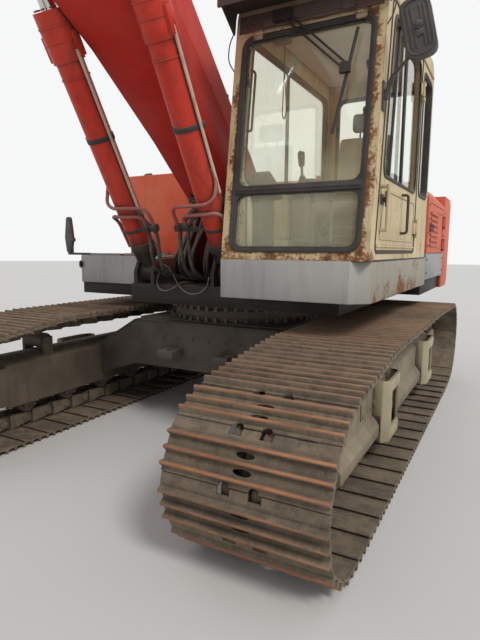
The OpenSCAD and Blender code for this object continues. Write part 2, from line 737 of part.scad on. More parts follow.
// Outline of the door's opening, set in by i
function door_outline(i) = [
  [front_y(floor_z + 60) + door_front_gap + i, floor_z + 60 + i], [door_rear - i, floor_z + 60 + i],
  [door_rear - i, roof_z - 130 - i], [front_y(roof_z - 130) + door_front_gap + i, roof_z - 130 - i]
];
sill_z = floor_z + sill_h;
rail = 60;
function door_window(i) = [
  [front_y(sill_z) + door_front_gap + rail + i, sill_z + i], [door_rear - rail - i, sill_z + i],
  [door_rear - rail - i, roof_z - 130 - rail - i],
  [front_y(roof_z - 130) + door_front_gap + rail + i, roof_z - 130 - rail - i]
];
function quarter_window(i) = [
  [door_rear + 90 + i, sill_z + i], [cab_rear - 90 - i, sill_z + i],
  [cab_rear - 90 - i, roof_z - 190 - i], [door_rear + 90 + i, roof_z - 190 - i]
];
function right_window(i) = [
  [front_y(sill_z) + 150 + i, sill_z + i], [cab_rear - 90 - i, sill_z + i],
  [cab_rear - 90 - i, roof_z - 190 - i], [front_y(roof_z - 190) + 150 + i, roof_z - 190 - i]
];
post = 62;
// How far the corners of the windows are turned round, at the opening and at the glass
window_r = 90;
pane_r = 65;
door_r = 55;
cab_hinge_z = [floor_z + 200, roof_z - 420];
// The windscreen's opening and its crossbar up the raked front, as [low, high] along the slope
screen_top = cab_h - 236;
screen = [58, screen_top];
crossbar = [sill_h - 96, sill_h - 36];
panes = [[screen[0] + seal_w, crossbar[0]], [crossbar[1], screen_top - seal_w]];

// A box on the cab's front: x, along the slope from the floor, and depth behind the face
module on_front(x, t, d) {
  translate([0, -base_front + 6, floor_z]) rotate([-cab_rake, 0, 0]) box(x, [d[0], d[1]], t);
}
// The same with its corners turned round
module on_front_round(x, t, d, r) {
  translate([0, -base_front + 6, floor_z]) rotate([-cab_rake, 0, 0]) translate([0, d[1], 0])
    rotate([90, 0, 0])
    linear_extrude(d[1] - d[0]) polygon(rounded([[x[0], t[0]], [x[1], t[0]], [x[1], t[1]], [x[0], t[1]]],
      r));
}
rear_sill = sill_z + 60;
rear_in = 120;
// The rear window, set in by i, through the depths d from the cab's rear face
module rear_window(i, d, r) {
  translate([0, cab_rear + d[1], 0]) rotate([90, 0, 0]) linear_extrude(d[1] - d[0]) polygon(rounded([
    [cab_x0 + rear_in + i, rear_sill + i], [cab_x1 - rear_in - i, rear_sill + i],
    [cab_x1 - rear_in - i, roof_z - 190 - i], [cab_x0 + rear_in + i, roof_z - 190 - i]
  ], r));
}

module cab_shell() {
  color("#cfc3a4") difference() {
    side(cab_outline(0), cab_x0, cab_x1);
    side(cab_outline(cab_wall), cab_x0 + cab_wall, cab_x1 - cab_wall);
    side(rounded(door_outline(0), door_r), cab_x1 - 2 * cab_wall, cab_x1 + over);
    side(rounded(quarter_window(0), window_r), cab_x1 - 2 * cab_wall, cab_x1 + over);
    side(rounded(right_window(0), window_r), cab_x0 - over, cab_x0 + 2 * cab_wall);
    on_front_round([cab_x0 + post, cab_x1 - post], screen, [-40, 2 * cab_wall], window_r);
    rear_window(0, [-2 * cab_wall, over], window_r);
  }
  color("#8d8568") for (z = cab_hinge_z) hinge_ears(cab_x1, door_rear, z);
}

pane_in = (cab_wall - glass_t) / 2;
// Glass of the fixed windows, each held in its seal
module cab_glass() {
  color("#b9c79a") {
    side(rounded(quarter_window(seal_w), pane_r), cab_x1 - cab_wall + pane_in, cab_x1 - pane_in);
    side(rounded(right_window(seal_w), pane_r), cab_x0 + pane_in, cab_x0 + cab_wall - pane_in);
    for (t = panes)
      on_front_round([cab_x0 + post + seal_w, cab_x1 - post - seal_w], t, [pane_in, cab_wall - pane_in],
        pane_r);
    rear_window(seal_w, [-cab_wall + pane_in, -pane_in], pane_r);
  }
}

// Rubber seals round the fixed windows
module window_seals() {
  color("#2c2a28") {
    loop_band(rounded(quarter_window(0), window_r), rounded(quarter_window(seal_w), pane_r),
      cab_x1 - cab_wall, cab_x1);
    loop_band(rounded(right_window(0), window_r), rounded(right_window(seal_w), pane_r), cab_x0,
      cab_x0 + cab_wall);
    difference() {
      on_front_round([cab_x0 + post, cab_x1 - post], screen, [0, cab_wall], window_r);
      for (t = panes)
        on_front_round([cab_x0 + post + seal_w, cab_x1 - post - seal_w], t, [-over, cab_wall + over],
          pane_r);
    }
    difference() {
      rear_window(0, [-cab_wall, 0], window_r);
      rear_window(seal_w, [-cab_wall - over, over], pane_r);
    }
  }
}

module cab_door() {
  color("#cfc3a4") difference() {
    union() {
      side(rounded(door_outline(door_gap), door_r), cab_x1 - cab_wall, cab_x1);
      for (z = cab_hinge_z) hinge_knuckle(cab_x1, door_rear, z);
      handle();
    }
    side(rounded(door_window(0), window_r), cab_x1 - 2 * cab_wall, cab_x1 + over);
  }
}
// Grab handle on the door's front edge
module handle() {
  y = front_y(sill_z) + door_front_gap + 30;
  for (z = [sill_z - 330, sill_z - 70]) translate([cab_x1 - 5, y, z]) rotate([0, 90, 0])
    cylinder(r = 11, h = 50);
  translate([cab_x1 + 45, y, sill_z - 341]) cylinder(r = 11, h = 282);
}

module door_glass() {
  color("#b9c79a") side(rounded(door_window(0), window_r), cab_x1 - cab_wall + pane_in, cab_x1 - pane_in);
}

seat_x = (cab_x0 + cab_x1) / 2;
seat_base_z = floor_z + cab_wall;
cushion_z = floor_z + 330;
module seat() {
  color("#3d3a37") {
    // Sprung base, cushion and backrest
    box([seat_x - 190, seat_x + 190], [-150, 330], [seat_base_z, cushion_z]);
    side([
      [-250, cushion_z], [-275, cushion_z + 50], [-250, cushion_z + 115], [-200, cushion_z + 130],
      [130, cushion_z + 105], [235, cushion_z + 125], [300, cushion_z + 105], [300, cushion_z]
    ], seat_x - 245, seat_x + 245);
    side([
      [235, cushion_z + 125], [300, cushion_z + 105], [400, cushion_z + 125], [470, cushion_z + 700],
      [440, cushion_z + 745], [375, cushion_z + 740], [345, cushion_z + 690], [300, cushion_z + 300]
    ], seat_x - 230, seat_x + 230);
    // Headrest on its two rods
    for (q = [-1, 1]) strut([seat_x + q * 60, 420, cushion_z + 700],
      [seat_x + q * 60, 432, cushion_z + 800], 8);
    side([
      [385, cushion_z + 790], [375, cushion_z + 880], [395, cushion_z + 950], [450, cushion_z + 955],
      [480, cushion_z + 900], [470, cushion_z + 790]
    ], seat_x - 125, seat_x + 125);
  }
}

console_x = 330;
console_half = 55;
lever_top = floor_z + 840;
// Consoles on both sides of the seat with their levers, the travel levers and the pedals on the floor
module console() {
  color("#45413c") {
    for (s = [-1, 1]) {
      side([
        [-330, seat_base_z], [-360, floor_z + 470], [-330, floor_z + 590], [-200, floor_z + 610],
          [240, floor_z + 610],
        [240, floor_z + 520], [60, floor_z + 480], [0, seat_base_z]
      ], seat_x + s * console_x - console_half, seat_x + s * console_x + console_half);
      strut([seat_x + s * console_x, -270, floor_z + 595], [seat_x + s * console_x, -300, floor_z + 740],
        11);
      strut([seat_x + s * console_x, -300, floor_z + 740], [seat_x + s * console_x, -318, lever_top], 24);
      strut([seat_x + s * 70, -700, seat_base_z + 8], [seat_x + s * 70, -740, floor_z + 440], 11);
      box([seat_x + s * 70 - 18, seat_x + s * 70 + 18], [-712, -685], [seat_base_z, seat_base_z + 14]);
      side([
        [-720, seat_base_z], [-900, seat_base_z + 90], [-905, seat_base_z + 75], [-740, seat_base_z]
      ], seat_x + s * 80 - 45, seat_x + s * 80 + 45);
    }
  }
}

visor_out = 250;
visor_t = 16;
// Visor over the windscreen: a sheet with a folded front edge, held by an end plate on each side
module visor() {
  color("#57534b") difference() {
    union() {
      side([
        [front_y(roof_z) - visor_out, roof_z - 118], [front_y(roof_z) - visor_out, roof_z - 76],
        [front_y(roof_z) + 90, roof_z - 40], [front_y(roof_z) + 90, roof_z - 40 - visor_t],
        [front_y(roof_z) - visor_out + visor_t, roof_z - 76 - visor_t],
        [front_y(roof_z) - visor_out + visor_t, roof_z - 118]
      ], cab_x0 - 20, cab_x1 + 20);
      for (x = [cab_x0 - 20, cab_x1 + 10]) side([
        [front_y(roof_z) - visor_out + 30, roof_z - 84], [front_y(roof_z) + 60, roof_z - 50],
        [front_y(roof_z) + 60, roof_z - 210], [front_y(roof_z - 210) - 14, roof_z - 210]
      ], x, x + 10);
    }
    side(cab_outline(0), cab_x0 - 2 * over - 20, cab_x1 + 2 * over + 20);
  }
}

// Wiper: its motor block over the windscreen, two parallel arms, and the blade across the glass
wiper_foot = [cab_x0 + 330, cab_h - 150];
wiper_knuckle = [cab_x1 - 230, cab_h - 560];
wiper_blade = [[cab_x1 - 165, cab_h - 320], [cab_x1 - 275, cab_h - 930]];
wiper_off = -36;
// The wiper's foot stands this far off the raked face
foot_gap = 0.1;
module on_front_rod(a, b, r, off) {
  translate([0, -base_front + 6, floor_z]) rotate([-cab_rake, 0, 0])
    strut([a[0], off, a[1]], [b[0], off, b[1]], r);
}
module wiper() {
  color("#24221f") {
    on_front([wiper_foot[0] - 50, wiper_foot[0] + 70], [wiper_foot[1] - 35, wiper_foot[1] + 35],
      [wiper_off - 10, -foot_gap]);
    for (q = [0, 1]) on_front_rod(wiper_foot + q * [42, 8], wiper_knuckle + q * [26, 22], 7, wiper_off);
    on_front([wiper_knuckle[0] - 22, wiper_knuckle[0] + 42], [wiper_knuckle[1] - 24, wiper_knuckle[1] + 38],
      [wiper_off - 12, wiper_off + 16]);
    on_front_rod(wiper_blade[1], wiper_blade[0], 10, wiper_off + 20);
  }
}

// Mirrors on their arms
mirror_head = [165, 320, 58];
mirror_lean = 13;
module mirror_left() {
  color("#2f2c2a") {
    z = roof_z - 720;
    y = front_y(z) + 30;
    at = [cab_x1 + 188, y - 40, roof_z - 420];
    box([cab_x1, cab_x1 + 10], [y - 28, y + 28], [z - 100, z + 60]);
    strut([cab_x1 + 15, y, z - 20], [cab_x1 + 60, y - 15, z + 90], 15);
    box([cab_x1 + 9, cab_x1 + 30], [y - 16, y + 16], [z - 40, z]);
    strut([cab_x1 + 55, y - 14, z + 80], at - [30, 0, 130], 9);
    translate(at) rotate([0, -mirror_lean, 0]) translate([0, mirror_head[2] / 2, 0]) rotate([90, 0, 0])
      linear_extrude(mirror_head[2]) polygon(rounded([
        [-mirror_head[0] / 2, -mirror_head[1] / 2], [mirror_head[0] / 2, -mirror_head[1] / 2],
        [mirror_head[0] / 2, mirror_head[1] / 2], [-mirror_head[0] / 2, mirror_head[1] / 2]
      ], 60));
  }
}

// Outline of the small mirror, a leaf that stands on its tip
leaf = [[-30, 20], [30, 20], [52, 170], [26, 370], [-26, 370], [-52, 170]];
// How far its arm holds it outside the deck
leaf_out = 150;
module mirror_right() {
  color("#2f2c2a") translate([-half_house - leaf_out, -right_front + 60, floor_z]) {
    box([-15, leaf_out + 120], [-14, 14], [0, 22]);
    box([20, 64], [-16, 16], [130, 165]);
    strut([40, 0, 20], [40, 0, 150], 8);
    translate([0, 14, 0]) rotate([90, 0, 0]) linear_extrude(28) polygon(rounded(leaf, 24));
  }
}

// Boom: its sections from the foot to the tip, as [y, z of the centre line, depth]
sections = [
  [-100, foot_z, 300], [-500, 2095, 400], [-900, 2465, 450], [-1500, 2975, 560], [-2100, 3405, 690],
  [-2700, 3705, 760], [-3400, 3825, 650], [-4300, 3850, 560], [-5100, 3815, 470], [-5480, 3790, 430]
];
section_n = len(sections);
function section_dir(i) = bearing(
  [sections[max(i - 1, 0)][0], sections[max(i - 1, 0)][1]],
  [sections[min(i + 1, section_n - 1)][0], sections[min(i + 1, section_n - 1)][1]]);
function section_edge(i, q, inset) = [sections[i][0], sections[i][1]]
  + q * (sections[i][2] / 2 - inset) * [sin(section_dir(i)), -cos(section_dir(i))];
// Side outline of the boom from section a to section b, its plates set in
function boom_outline(a, b, inset) = concat(
  [for (i = [a:b]) section_edge(i, 1, inset)], [for (i = [b:-1:a]) section_edge(i, -1, inset)]);
fork_t = 70;
fork_in = stick_w / 2 + 14;
boss_r = 170;

// Plate that closes the boom's box at the fork, with a round hole through it
module end_plate() {
  last = section_n - 1;
  at = [sections[last][0], sections[last][1]];
  difference() {
    side([
      section_edge(last, 1, 0), section_edge(last, -1, 0),
      section_edge(last, -1, 0) + [boom_wall, 0], section_edge(last, 1, 0) + [boom_wall, 0]
    ], -boom_half, boom_half);
    translate([0, at[0] - over, at[1]]) rotate([-90, 0, 0]) cylinder(r = 70, h = boom_wall + 2 * over);
  }
}

module boom() {
  color("#a8382a") {
    difference() {
      union() {
        side(boom_outline(0, section_n - 1, 0), -boom_half, boom_half);
        bar(foot, 150, -boom_half, boom_half);
        side_pair(concat([section_edge(section_n - 1, -1, 0), section_edge(section_n - 1, 1, 0)],
          [stick_pin + [0, boss_r], stick_pin + [0, -boss_r]]), fork_in, fork_in + fork_t);
        bar_pair(stick_pin, boss_r, fork_in, fork_in + fork_t);
        bar_pair(boom_eye, 90, boom_half, cyl_in - clear);
        side_pair([
          stick_cyl_base + [-140, -300], stick_cyl_base + [-110, 60], stick_cyl_base + [-60, 90],
          stick_cyl_base + [60, 90], stick_cyl_base + [120, 30], stick_cyl_base + [380, -400]
        ], 75, 110);
      }
      side(boom_outline(1, section_n - 1, boom_wall), -boom_half + boom_wall, boom_half - boom_wall);
      bar(foot, main_pin_r + fit, -boom_half - over, boom_half + over);
    }
    end_plate();
    bar(stick_pin, main_pin_r, -fork_in - fork_t, fork_in + fork_t);
    bar(stick_cyl_base, link_pin_r, -125, 125);
  }
}

// A cylinder's barrel from its base pin along to the eye: the outer end is the gland
module barrel(base, eye, r, length, eye_r, eye_w, x) {
  color("#c0532f") difference() {
    union() {
      along(base, eye, x) {
        cylinder(r = eye_w / 2 - 4, h = tube_start);
        translate([0, 0, tube_start]) cylinder(r = r, h = length - tube_start);
        translate([0, 0, length - 180]) cylinder(r = r + 16, h = 180);
      }
      bar(base, eye_r, x - eye_w / 2, x + eye_w / 2);
    }
    along(base, eye, x) {
      translate([0, 0, tube_start + 30]) cylinder(r = r - 16, h = length - tube_start - 210);
      translate([0, 0, length - 200]) cylinder(r = rod_r + fit, h = 220);
    }
    bar(base, link_pin_r + fit, x - eye_w, x + eye_w);
  }
}

module rod(base, eye, length, eye_r, eye_w, x, cap) {
  color("#b8b4ac") {
    difference() {
      union() {
        along(eye, base, x) translate([0, 0, eye_r * 0.7]) cylinder(r = rod_r, h = length - eye_r * 0.7);
        bar(eye, eye_r, x - eye_w / 2, x + eye_w / 2);
      }
      if (!cap) bar(eye, link_pin_r, x - eye_w, x + eye_w);
    }
  }
}

// The tube of a barrel starts this far from its base pin, clear of the lugs
tube_start = 142;
boom_barrel_len = 1893;
module boom_barrel_left() { barrel(cyl_base, boom_eye, barrel_r, boom_barrel_len, 88, cyl_eye_w,
  boom_cyl_x); }
module boom_barrel_right() { barrel(cyl_base, boom_eye, barrel_r, boom_barrel_len, 88, cyl_eye_w,
  -boom_cyl_x); }
module boom_rod_left() { rod(cyl_base, boom_eye, 1500, 85, cyl_eye_w, boom_cyl_x, true); }
module boom_rod_right() { rod(cyl_base, boom_eye, 1500, 85, cyl_eye_w, -boom_cyl_x, true); }

// Stick: side outline as [u up from the bucket pivot, v to the front]
stick_points = [
  [0, -112], [420, -150], [2200, -230], [stick_len, -190], [stick_len + 260, -60], [stick_len + 420, 90],
  [stick_len + 350, 230], [stick_len + 50, 350], [2500, 300], [1300, 215], [426, 196], [0, 100]
];
stick_inside = [
  [560, -125], [2150, -200], [stick_len - 230, -180], [stick_len - 230, 240], [1300, 190], [560, 170]
];
function on_stick(points) = [for (p = points) stick_at(p[0], p[1])];
stick_half = stick_w / 2;
tail_in = 75;
tail_t = 40;

module stick() {
  color("#a8382a") {
    difference() {
      union() {
        side(on_stick(stick_points), -stick_half, stick_half);
        bar(bucket_pin, 108, -stick_half, stick_half);
        bar(rocker_pin, 85, -stick_half, stick_half);
        side_pair(on_stick([
          [stick_len + 260, -60], [stick_len + 677, 320], [stick_len + 770, 420],
            [stick_len + tail_corner[0], tail_corner[1]],
          [stick_len + 600, 530], [stick_len + 50, 350]
        ]), tail_in, tail_in + tail_t);
        side_pair(on_stick([[2170, 200], [2235, 350], [2250, 470], [2430, 490], [2600, 250]]), tail_in,
          tail_in + tail_t);
      }
      side(on_stick(stick_inside), -stick_half + stick_wall, stick_half - stick_wall);
      bar(stick_pin, main_pin_r + fit, -stick_half - over, stick_half + over);
    }
    bar(bucket_pin, link_pin_r, -ear_out - 15, ear_out + 15);
    bar(rocker_pin, link_pin_r, -rocker_out - 12, rocker_out + 12);
    bar_pair(stick_eye, link_pin_r, tail_in, tail_in + tail_t + 15);
    bar(bucket_cyl_base, link_pin_r, -tail_in - tail_t - 15, tail_in + tail_t + 15);
  }
}

module stick_barrel() { barrel(stick_cyl_base, stick_eye, barrel_r, 2330, 80, 130, 0); }
module stick_rod() { rod(stick_cyl_base, stick_eye, 1800, 80, 130, 0, false); }
module bucket_barrel() { barrel(bucket_cyl_base, rocker_eye, small_barrel_r, 1400, 75, 130, 0); }
module bucket_rod() { rod(bucket_cyl_base, rocker_eye, 1330, 70, 120, 0, false); }

ear_in = stick_half + 12;
ear_out = ear_in + 32;
rocker_in = ear_out + 12;
rocker_out = rocker_in + 30;
link_out_x = stick_half;
link_in_x = 88;

// Rocker: two side bars from the stick to the bucket cylinder's eye
module rocker() {
  color("#a8382a") difference() {
    union() {
      for (at = [rocker_pin, rocker_eye]) bar_pair(at, 75, rocker_in, rocker_out);
      side_pair([rocker_pin + [0, 55], rocker_eye + [0, 55], rocker_eye - [0, 55], rocker_pin - [0, 55]],
        rocker_in, rocker_out);
      bar_pair(rocker_eye, link_pin_r, link_in_x, rocker_out + 12);
    }
    bar(rocker_pin, link_pin_r + fit, -rocker_out - over, rocker_out + over);
  }
}

// Bucket link: two bars with a tube across at the bucket's eye
module bucket_link() {
  across = [sin(bearing(rocker_eye, bucket_eye)), -cos(bearing(rocker_eye, bucket_eye))];
  color("#a8382a") difference() {
    union() {
      bar_pair(rocker_eye, 75, link_in_x, link_out_x);
      bar(bucket_eye, 75, -link_out_x, link_out_x);
      side_pair([rocker_eye + 60 * across, bucket_eye + 60 * across, bucket_eye - 60 * across,
        rocker_eye - 60 * across],
        link_in_x, link_out_x);
    }
    bar(rocker_eye, link_pin_r + fit, -link_out_x - over, link_out_x + over);
  }
}

// Bucket: outline of its shell about the bucket pivot, set in by i
bucket_back_r = 470;
bucket_back = [-60, bucket_back_r - bucket_drop];
lip_y = 800;
function shell_line(i) = concat(
  [[170 - i, -135 - i]],
  arc(bucket_back, bucket_back_r - i, 118, 270, 10),
  [[lip_y, bucket_back[1] - bucket_back_r + i]]
);
function about_bucket(points) = [for (p = points) bucket_pin + p];
bucket_low = bucket_back[1] - bucket_back_r;
tooth_len = 210;
tooth_w = 90;

module bucket() {
  color("#7d6a58") {
    difference() {
      union() {
        difference() {
          side(about_bucket(concat(shell_line(0), [[lip_y + 60, bucket_low + 60]])), -bucket_w / 2,
            bucket_w / 2);
          side(about_bucket(concat(shell_line(bucket_plate),
            [[lip_y + 60, bucket_low + 60], [lip_y + 200, bucket_low + 90], [300, -40]])),
            -bucket_w / 2 + bucket_plate, bucket_w / 2 - bucket_plate);
        }
        side_pair(about_bucket([
          [-130, -140], [-500, -330], [-505, -40], [-425, 40], [-60, 95], [60, 95], [110, 0], [150, -140]
        ]), ear_in, ear_out);
        for (at = [[0, 0], [-425, -75]]) bar_pair(bucket_pin + at, 100, ear_in, ear_out);
        bar_pair(bucket_eye, link_pin_r, ear_in, ear_out + 15);
        for (i = [0:tooth_n - 1])
          side(about_bucket([
            [lip_y - 60, bucket_low], [lip_y - 60, bucket_low + 80], [lip_y + tooth_len, bucket_low + 12],
            [lip_y + tooth_len, bucket_low]
          ]), tooth_x(i) - tooth_w / 2, tooth_x(i) + tooth_w / 2);
      }
      bar(bucket_pin, link_pin_r + fit, -ear_out - over, ear_out + over);
    }
  }
}
function tooth_x(i) = (i - (tooth_n - 1) / 2) * (bucket_w - tooth_w) / (tooth_n - 1);

translate([0, slew_y, 0]) {
  carbody();
  slew_ring_lower();
  track_frame(1);  // track_frame_left
  track_frame(-1);  // track_frame_right
  steps();
  track_at(1);  // track_left
  track_at(-1);  // track_right
  idlers();
  sprockets();
  rollers();
  slew_ring_upper();
  revolving_frame();
  cab_base();
  right_deck();
  fuel_tank();
  house_shell();
  engine_block();
  counterweight();
  exhaust();
  cab_shell();
  cab_glass();
  window_seals();
  seat();
  console();
  visor();
  wiper();
  mirror_left();
  mirror_right();
  cab_door();
  door_glass();
  hood();
  service_door(1);  // service_door_left
  service_door(-1);  // service_door_right
  boom();
  boom_barrel_left();
  boom_rod_left();
  boom_barrel_right();
  boom_rod_right();
  stick();
  stick_barrel();
  stick_rod();
  bucket_barrel();
  bucket_rod();
  rocker();
  bucket_link();
  bucket();
}
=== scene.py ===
# %% [markdown]
# # A crawler excavator, dressed in Blender
#
# The solids of this machine come from its CAD model and are never changed here. This notebook gives them their
# finishes, and adds what CAD leaves out: worn track shoes, hoses, bolts, rubber, seams, and the inside of the cab.
# Every length is in metres, in the frame of the CAD model: +Z is up and the machine looks along -Y.

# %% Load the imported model
import json
import math
import random

import bmesh
import bpy
from mathutils import Matrix, Vector

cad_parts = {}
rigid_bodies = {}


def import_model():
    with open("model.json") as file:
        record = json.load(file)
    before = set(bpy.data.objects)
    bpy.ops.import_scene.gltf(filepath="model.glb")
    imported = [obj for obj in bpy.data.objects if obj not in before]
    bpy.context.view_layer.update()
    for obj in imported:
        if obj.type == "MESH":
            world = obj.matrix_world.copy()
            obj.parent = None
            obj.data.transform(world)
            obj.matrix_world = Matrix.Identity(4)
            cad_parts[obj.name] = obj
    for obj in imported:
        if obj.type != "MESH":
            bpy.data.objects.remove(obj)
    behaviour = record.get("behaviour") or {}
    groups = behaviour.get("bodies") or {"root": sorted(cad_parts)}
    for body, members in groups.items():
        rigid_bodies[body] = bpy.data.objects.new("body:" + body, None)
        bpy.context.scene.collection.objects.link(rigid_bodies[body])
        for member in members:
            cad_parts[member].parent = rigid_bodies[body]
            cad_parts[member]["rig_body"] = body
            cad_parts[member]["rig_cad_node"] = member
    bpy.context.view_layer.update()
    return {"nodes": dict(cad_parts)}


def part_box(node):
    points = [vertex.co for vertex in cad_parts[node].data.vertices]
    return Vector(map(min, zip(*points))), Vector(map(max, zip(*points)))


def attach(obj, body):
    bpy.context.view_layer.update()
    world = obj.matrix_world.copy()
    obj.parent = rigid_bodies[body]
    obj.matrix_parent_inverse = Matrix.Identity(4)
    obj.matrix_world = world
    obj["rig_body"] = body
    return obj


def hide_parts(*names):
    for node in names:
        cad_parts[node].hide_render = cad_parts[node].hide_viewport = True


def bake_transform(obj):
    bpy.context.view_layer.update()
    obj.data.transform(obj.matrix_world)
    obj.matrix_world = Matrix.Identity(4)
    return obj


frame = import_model()

# %% [markdown]
# ## Places read from the frame
#
# A dressed piece has to sit on the solid that carries it, so its place is measured from that solid's box and not
# typed in. The slewing axis is the one line that the whole machine is built about. `place` takes a point in
# millimetres from that axis, which is how the machine is drawn, and gives it in the frame's metres.

# %% The slewing axis and the helper for places
ring_low, ring_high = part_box("slew_ring_lower")
slew_y = (ring_low.y + ring_high.y) / 2
ring_top = ring_high.z


def place(x, y, z):
    """A point in millimetres from the slewing axis and the ground, in the frame's metres."""
    return Vector((x / 1000, y / 1000 + slew_y, z / 1000))


print(f"slewing axis at y = {slew_y:.4f} m, ring top at {ring_top:.3f} m")

# %% [markdown]
# ## Camera
#
# The camera stands where the photograph was taken: low, close to the left front corner, with a wide lens. Its place
# and angles were solved from the corners of the track and the cab.

# %% Camera
IMAGE_W, IMAGE_H = 480, 640
FOCAL_PX = 498.7
SENSOR = 36.0
camera_from_axis = (2234, -4229, 1494)
camera_yaw, camera_pitch, camera_roll = (math.radians(a) for a in (28.41, 8.04, 0.45))

camera_data = bpy.data.cameras.new("camera")
camera_data.sensor_width = SENSOR
camera_data.lens = FOCAL_PX * SENSOR / max(IMAGE_W, IMAGE_H)
camera_data.clip_start, camera_data.clip_end = 0.05, 200
camera = bpy.data.objects.new("camera", camera_data)
bpy.context.scene.collection.objects.link(camera)
camera.location = place(*camera_from_axis)
camera.rotation_euler = (
    Matrix.Rotation(camera_yaw, 3, "Z") @ Matrix.Rotation(math.pi / 2 - camera_pitch, 3, "X")
    @ Matrix.Rotation(camera_roll, 3, "Z")).to_euler()
bpy.context.scene.camera = camera
bpy.context.scene.view_settings.view_transform = "Standard"
print(f"lens {camera_data.lens:.2f} mm")

# %% [markdown]
# ## Short names for shader nodes
#
# The sky and every finish are trees of shader nodes. These helpers add one node each and give its output, so that a
# finish reads like a sum.

# %% Helpers for shader nodes
def feed(node, inputs):
    """Sets inputs by name or number, each to a value or linked to another node's output."""
    for key, value in inputs.items():
        if isinstance(value, bpy.types.NodeSocket):
            node.id_data.links.new(value, node.inputs[key])
        else:
            node.inputs[key].default_value = value
    return node


def add_node(tree, kind, inputs=None, **settings):
    """Adds a node with its settings and inputs."""
    made = tree.nodes.new(kind)
    for key, value in settings.items():
        setattr(made, key, value)
    return feed(made, inputs or {})


def math_node(tree, operation, a, b=0.0, clamp=False):
    return add_node(tree, "ShaderNodeMath", {0: a, 1: b}, operation=operation, use_clamp=clamp).outputs[0]


def plus(tree, a, b):
    return math_node(tree, "ADD", a, b)


def minus(tree, a, b):
    return math_node(tree, "SUBTRACT", a, b)


def times(tree, a, b, clamp=False):
    return math_node(tree, "MULTIPLY", a, b, clamp)


def greater(tree, a, b):
    return math_node(tree, "MAXIMUM", a, b)


def ramp(tree, value, low, high, at_low=0.0, at_high=1.0):
    """at_low below low, at_high above high, and straight between."""
    return add_node(tree, "ShaderNodeMapRange", {"Value": value, "From Min": low, "From Max": high, "To Min": at_low,
                                                 "To Max": at_high}).outputs["Result"]


def surface_point(tree, kind="Object"):
    """The shaded point in the machine's frame, in metres, or its normal."""
    return add_node(tree, "ShaderNodeTexCoord").outputs[kind]


def axis(tree, vector, letter):
    return add_node(tree, "ShaderNodeSeparateXYZ", {0: vector}).outputs[letter]


def noise(tree, scale, detail, roughness, vector):
    return add_node(tree, "ShaderNodeTexNoise", {"Scale": scale, "Detail": detail, "Roughness": roughness,
                                                 "Vector": vector}).outputs["Fac"]


def mix_colour(tree, factor, first, second):
    return add_node(tree, "ShaderNodeMix", {0: factor, 6: first, 7: second}, data_type="RGBA").outputs[2]


def bump(tree, height, strength, distance):
    return add_node(tree, "ShaderNodeBump", {"Height": height, "Strength": strength, "Distance": distance}).outputs[0]


print("helpers for shader nodes ready")

# %% [markdown]
# ## Floor and light
#
# The floor is plain and pale. One large soft lamp and an even sky light the machine at a level where a colour
# renders about as it is written.

# %% Floor, sky and lamp
FLOOR_RADIUS = 60
SKY_LEVEL, SKY_COLOUR = 0.62, (0.97, 0.98, 1.0, 1)
BACKDROP_LEVEL, BACKDROP_COLOUR = 1.0, (0.93, 0.935, 0.94, 1)
LAMP_LEVEL, LAMP_COLOUR, LAMP_SPREAD, LAMP_TURN = 1.5, (1.0, 0.985, 0.955), 16, (42, 8, 52)
bpy.ops.mesh.primitive_circle_add(vertices=64, radius=FLOOR_RADIUS, fill_type="NGON", location=(0, 0, 0))
floor = bpy.context.object
floor.name = "floor"

world = bpy.data.worlds.new("sky")
bpy.context.scene.world = world
world.use_nodes = True
tree = world.node_tree
tree.nodes.clear()
# What the camera, glass and polished metal see behind the machine is pale; what lights it is a plain even sky
rays = add_node(tree, "ShaderNodeLightPath").outputs
seen = greater(tree, greater(tree, rays["Is Camera Ray"], rays["Is Glossy Ray"]), rays["Is Transmission Ray"])
lit = add_node(tree, "ShaderNodeBackground", {"Color": SKY_COLOUR, "Strength": SKY_LEVEL})
backdrop = add_node(tree, "ShaderNodeBackground", {"Color": BACKDROP_COLOUR, "Strength": BACKDROP_LEVEL})
sky_mix = add_node(tree, "ShaderNodeMixShader", {0: seen, 1: lit.outputs[0], 2: backdrop.outputs[0]})
add_node(tree, "ShaderNodeOutputWorld", {0: sky_mix.outputs[0]})

lamp_data = bpy.data.lights.new("lamp", "SUN")
lamp_data.energy = LAMP_LEVEL
lamp_data.angle = math.radians(LAMP_SPREAD)
lamp_data.color = LAMP_COLOUR
lamp = bpy.data.objects.new("lamp", lamp_data)
bpy.context.scene.collection.objects.link(lamp)
lamp.rotation_euler = [math.radians(a) for a in LAMP_TURN]
print("lamp and sky made")

# %% [markdown]
# ## Shared effects for the finishes
#
# Old site paint is never one colour. It fades in clouds, runs in streaks below joints, is rubbed through at edges,
# blisters into rust, and carries dust on all that faces up. Each of these effects is one node group with named
# inputs, so that all the paints weather in the same way and only by different amounts.

# %% Group helpers
F, C = "NodeSocketFloat", "NodeSocketColor"


def new_group(name, inputs, outputs):
    """An empty node group. Inputs are (name, default), all numbers, and outputs are (name, kind)."""
    tree = bpy.data.node_groups.new(name, "ShaderNodeTree")
    for socket, default in inputs:
        tree.interface.new_socket(socket, in_out="INPUT", socket_type=F).default_value = default
    for socket, kind in outputs:
        tree.interface.new_socket(socket, in_out="OUTPUT", socket_type=kind)
    return tree, tree.nodes.new("NodeGroupInput").outputs, tree.nodes.new("NodeGroupOutput")


def use_group(tree, group, **inputs):
    """Places a group in a material and gives its outputs."""
    return add_node(tree, "ShaderNodeGroup", inputs, node_tree=group).outputs


def sized_point(tree, scale):
    """The surface point times a scale, which makes every pattern on it finer."""
    inputs = {0: surface_point(tree), "Scale": scale}
    return add_node(tree, "ShaderNodeVectorMath", inputs, operation="SCALE").outputs[0]


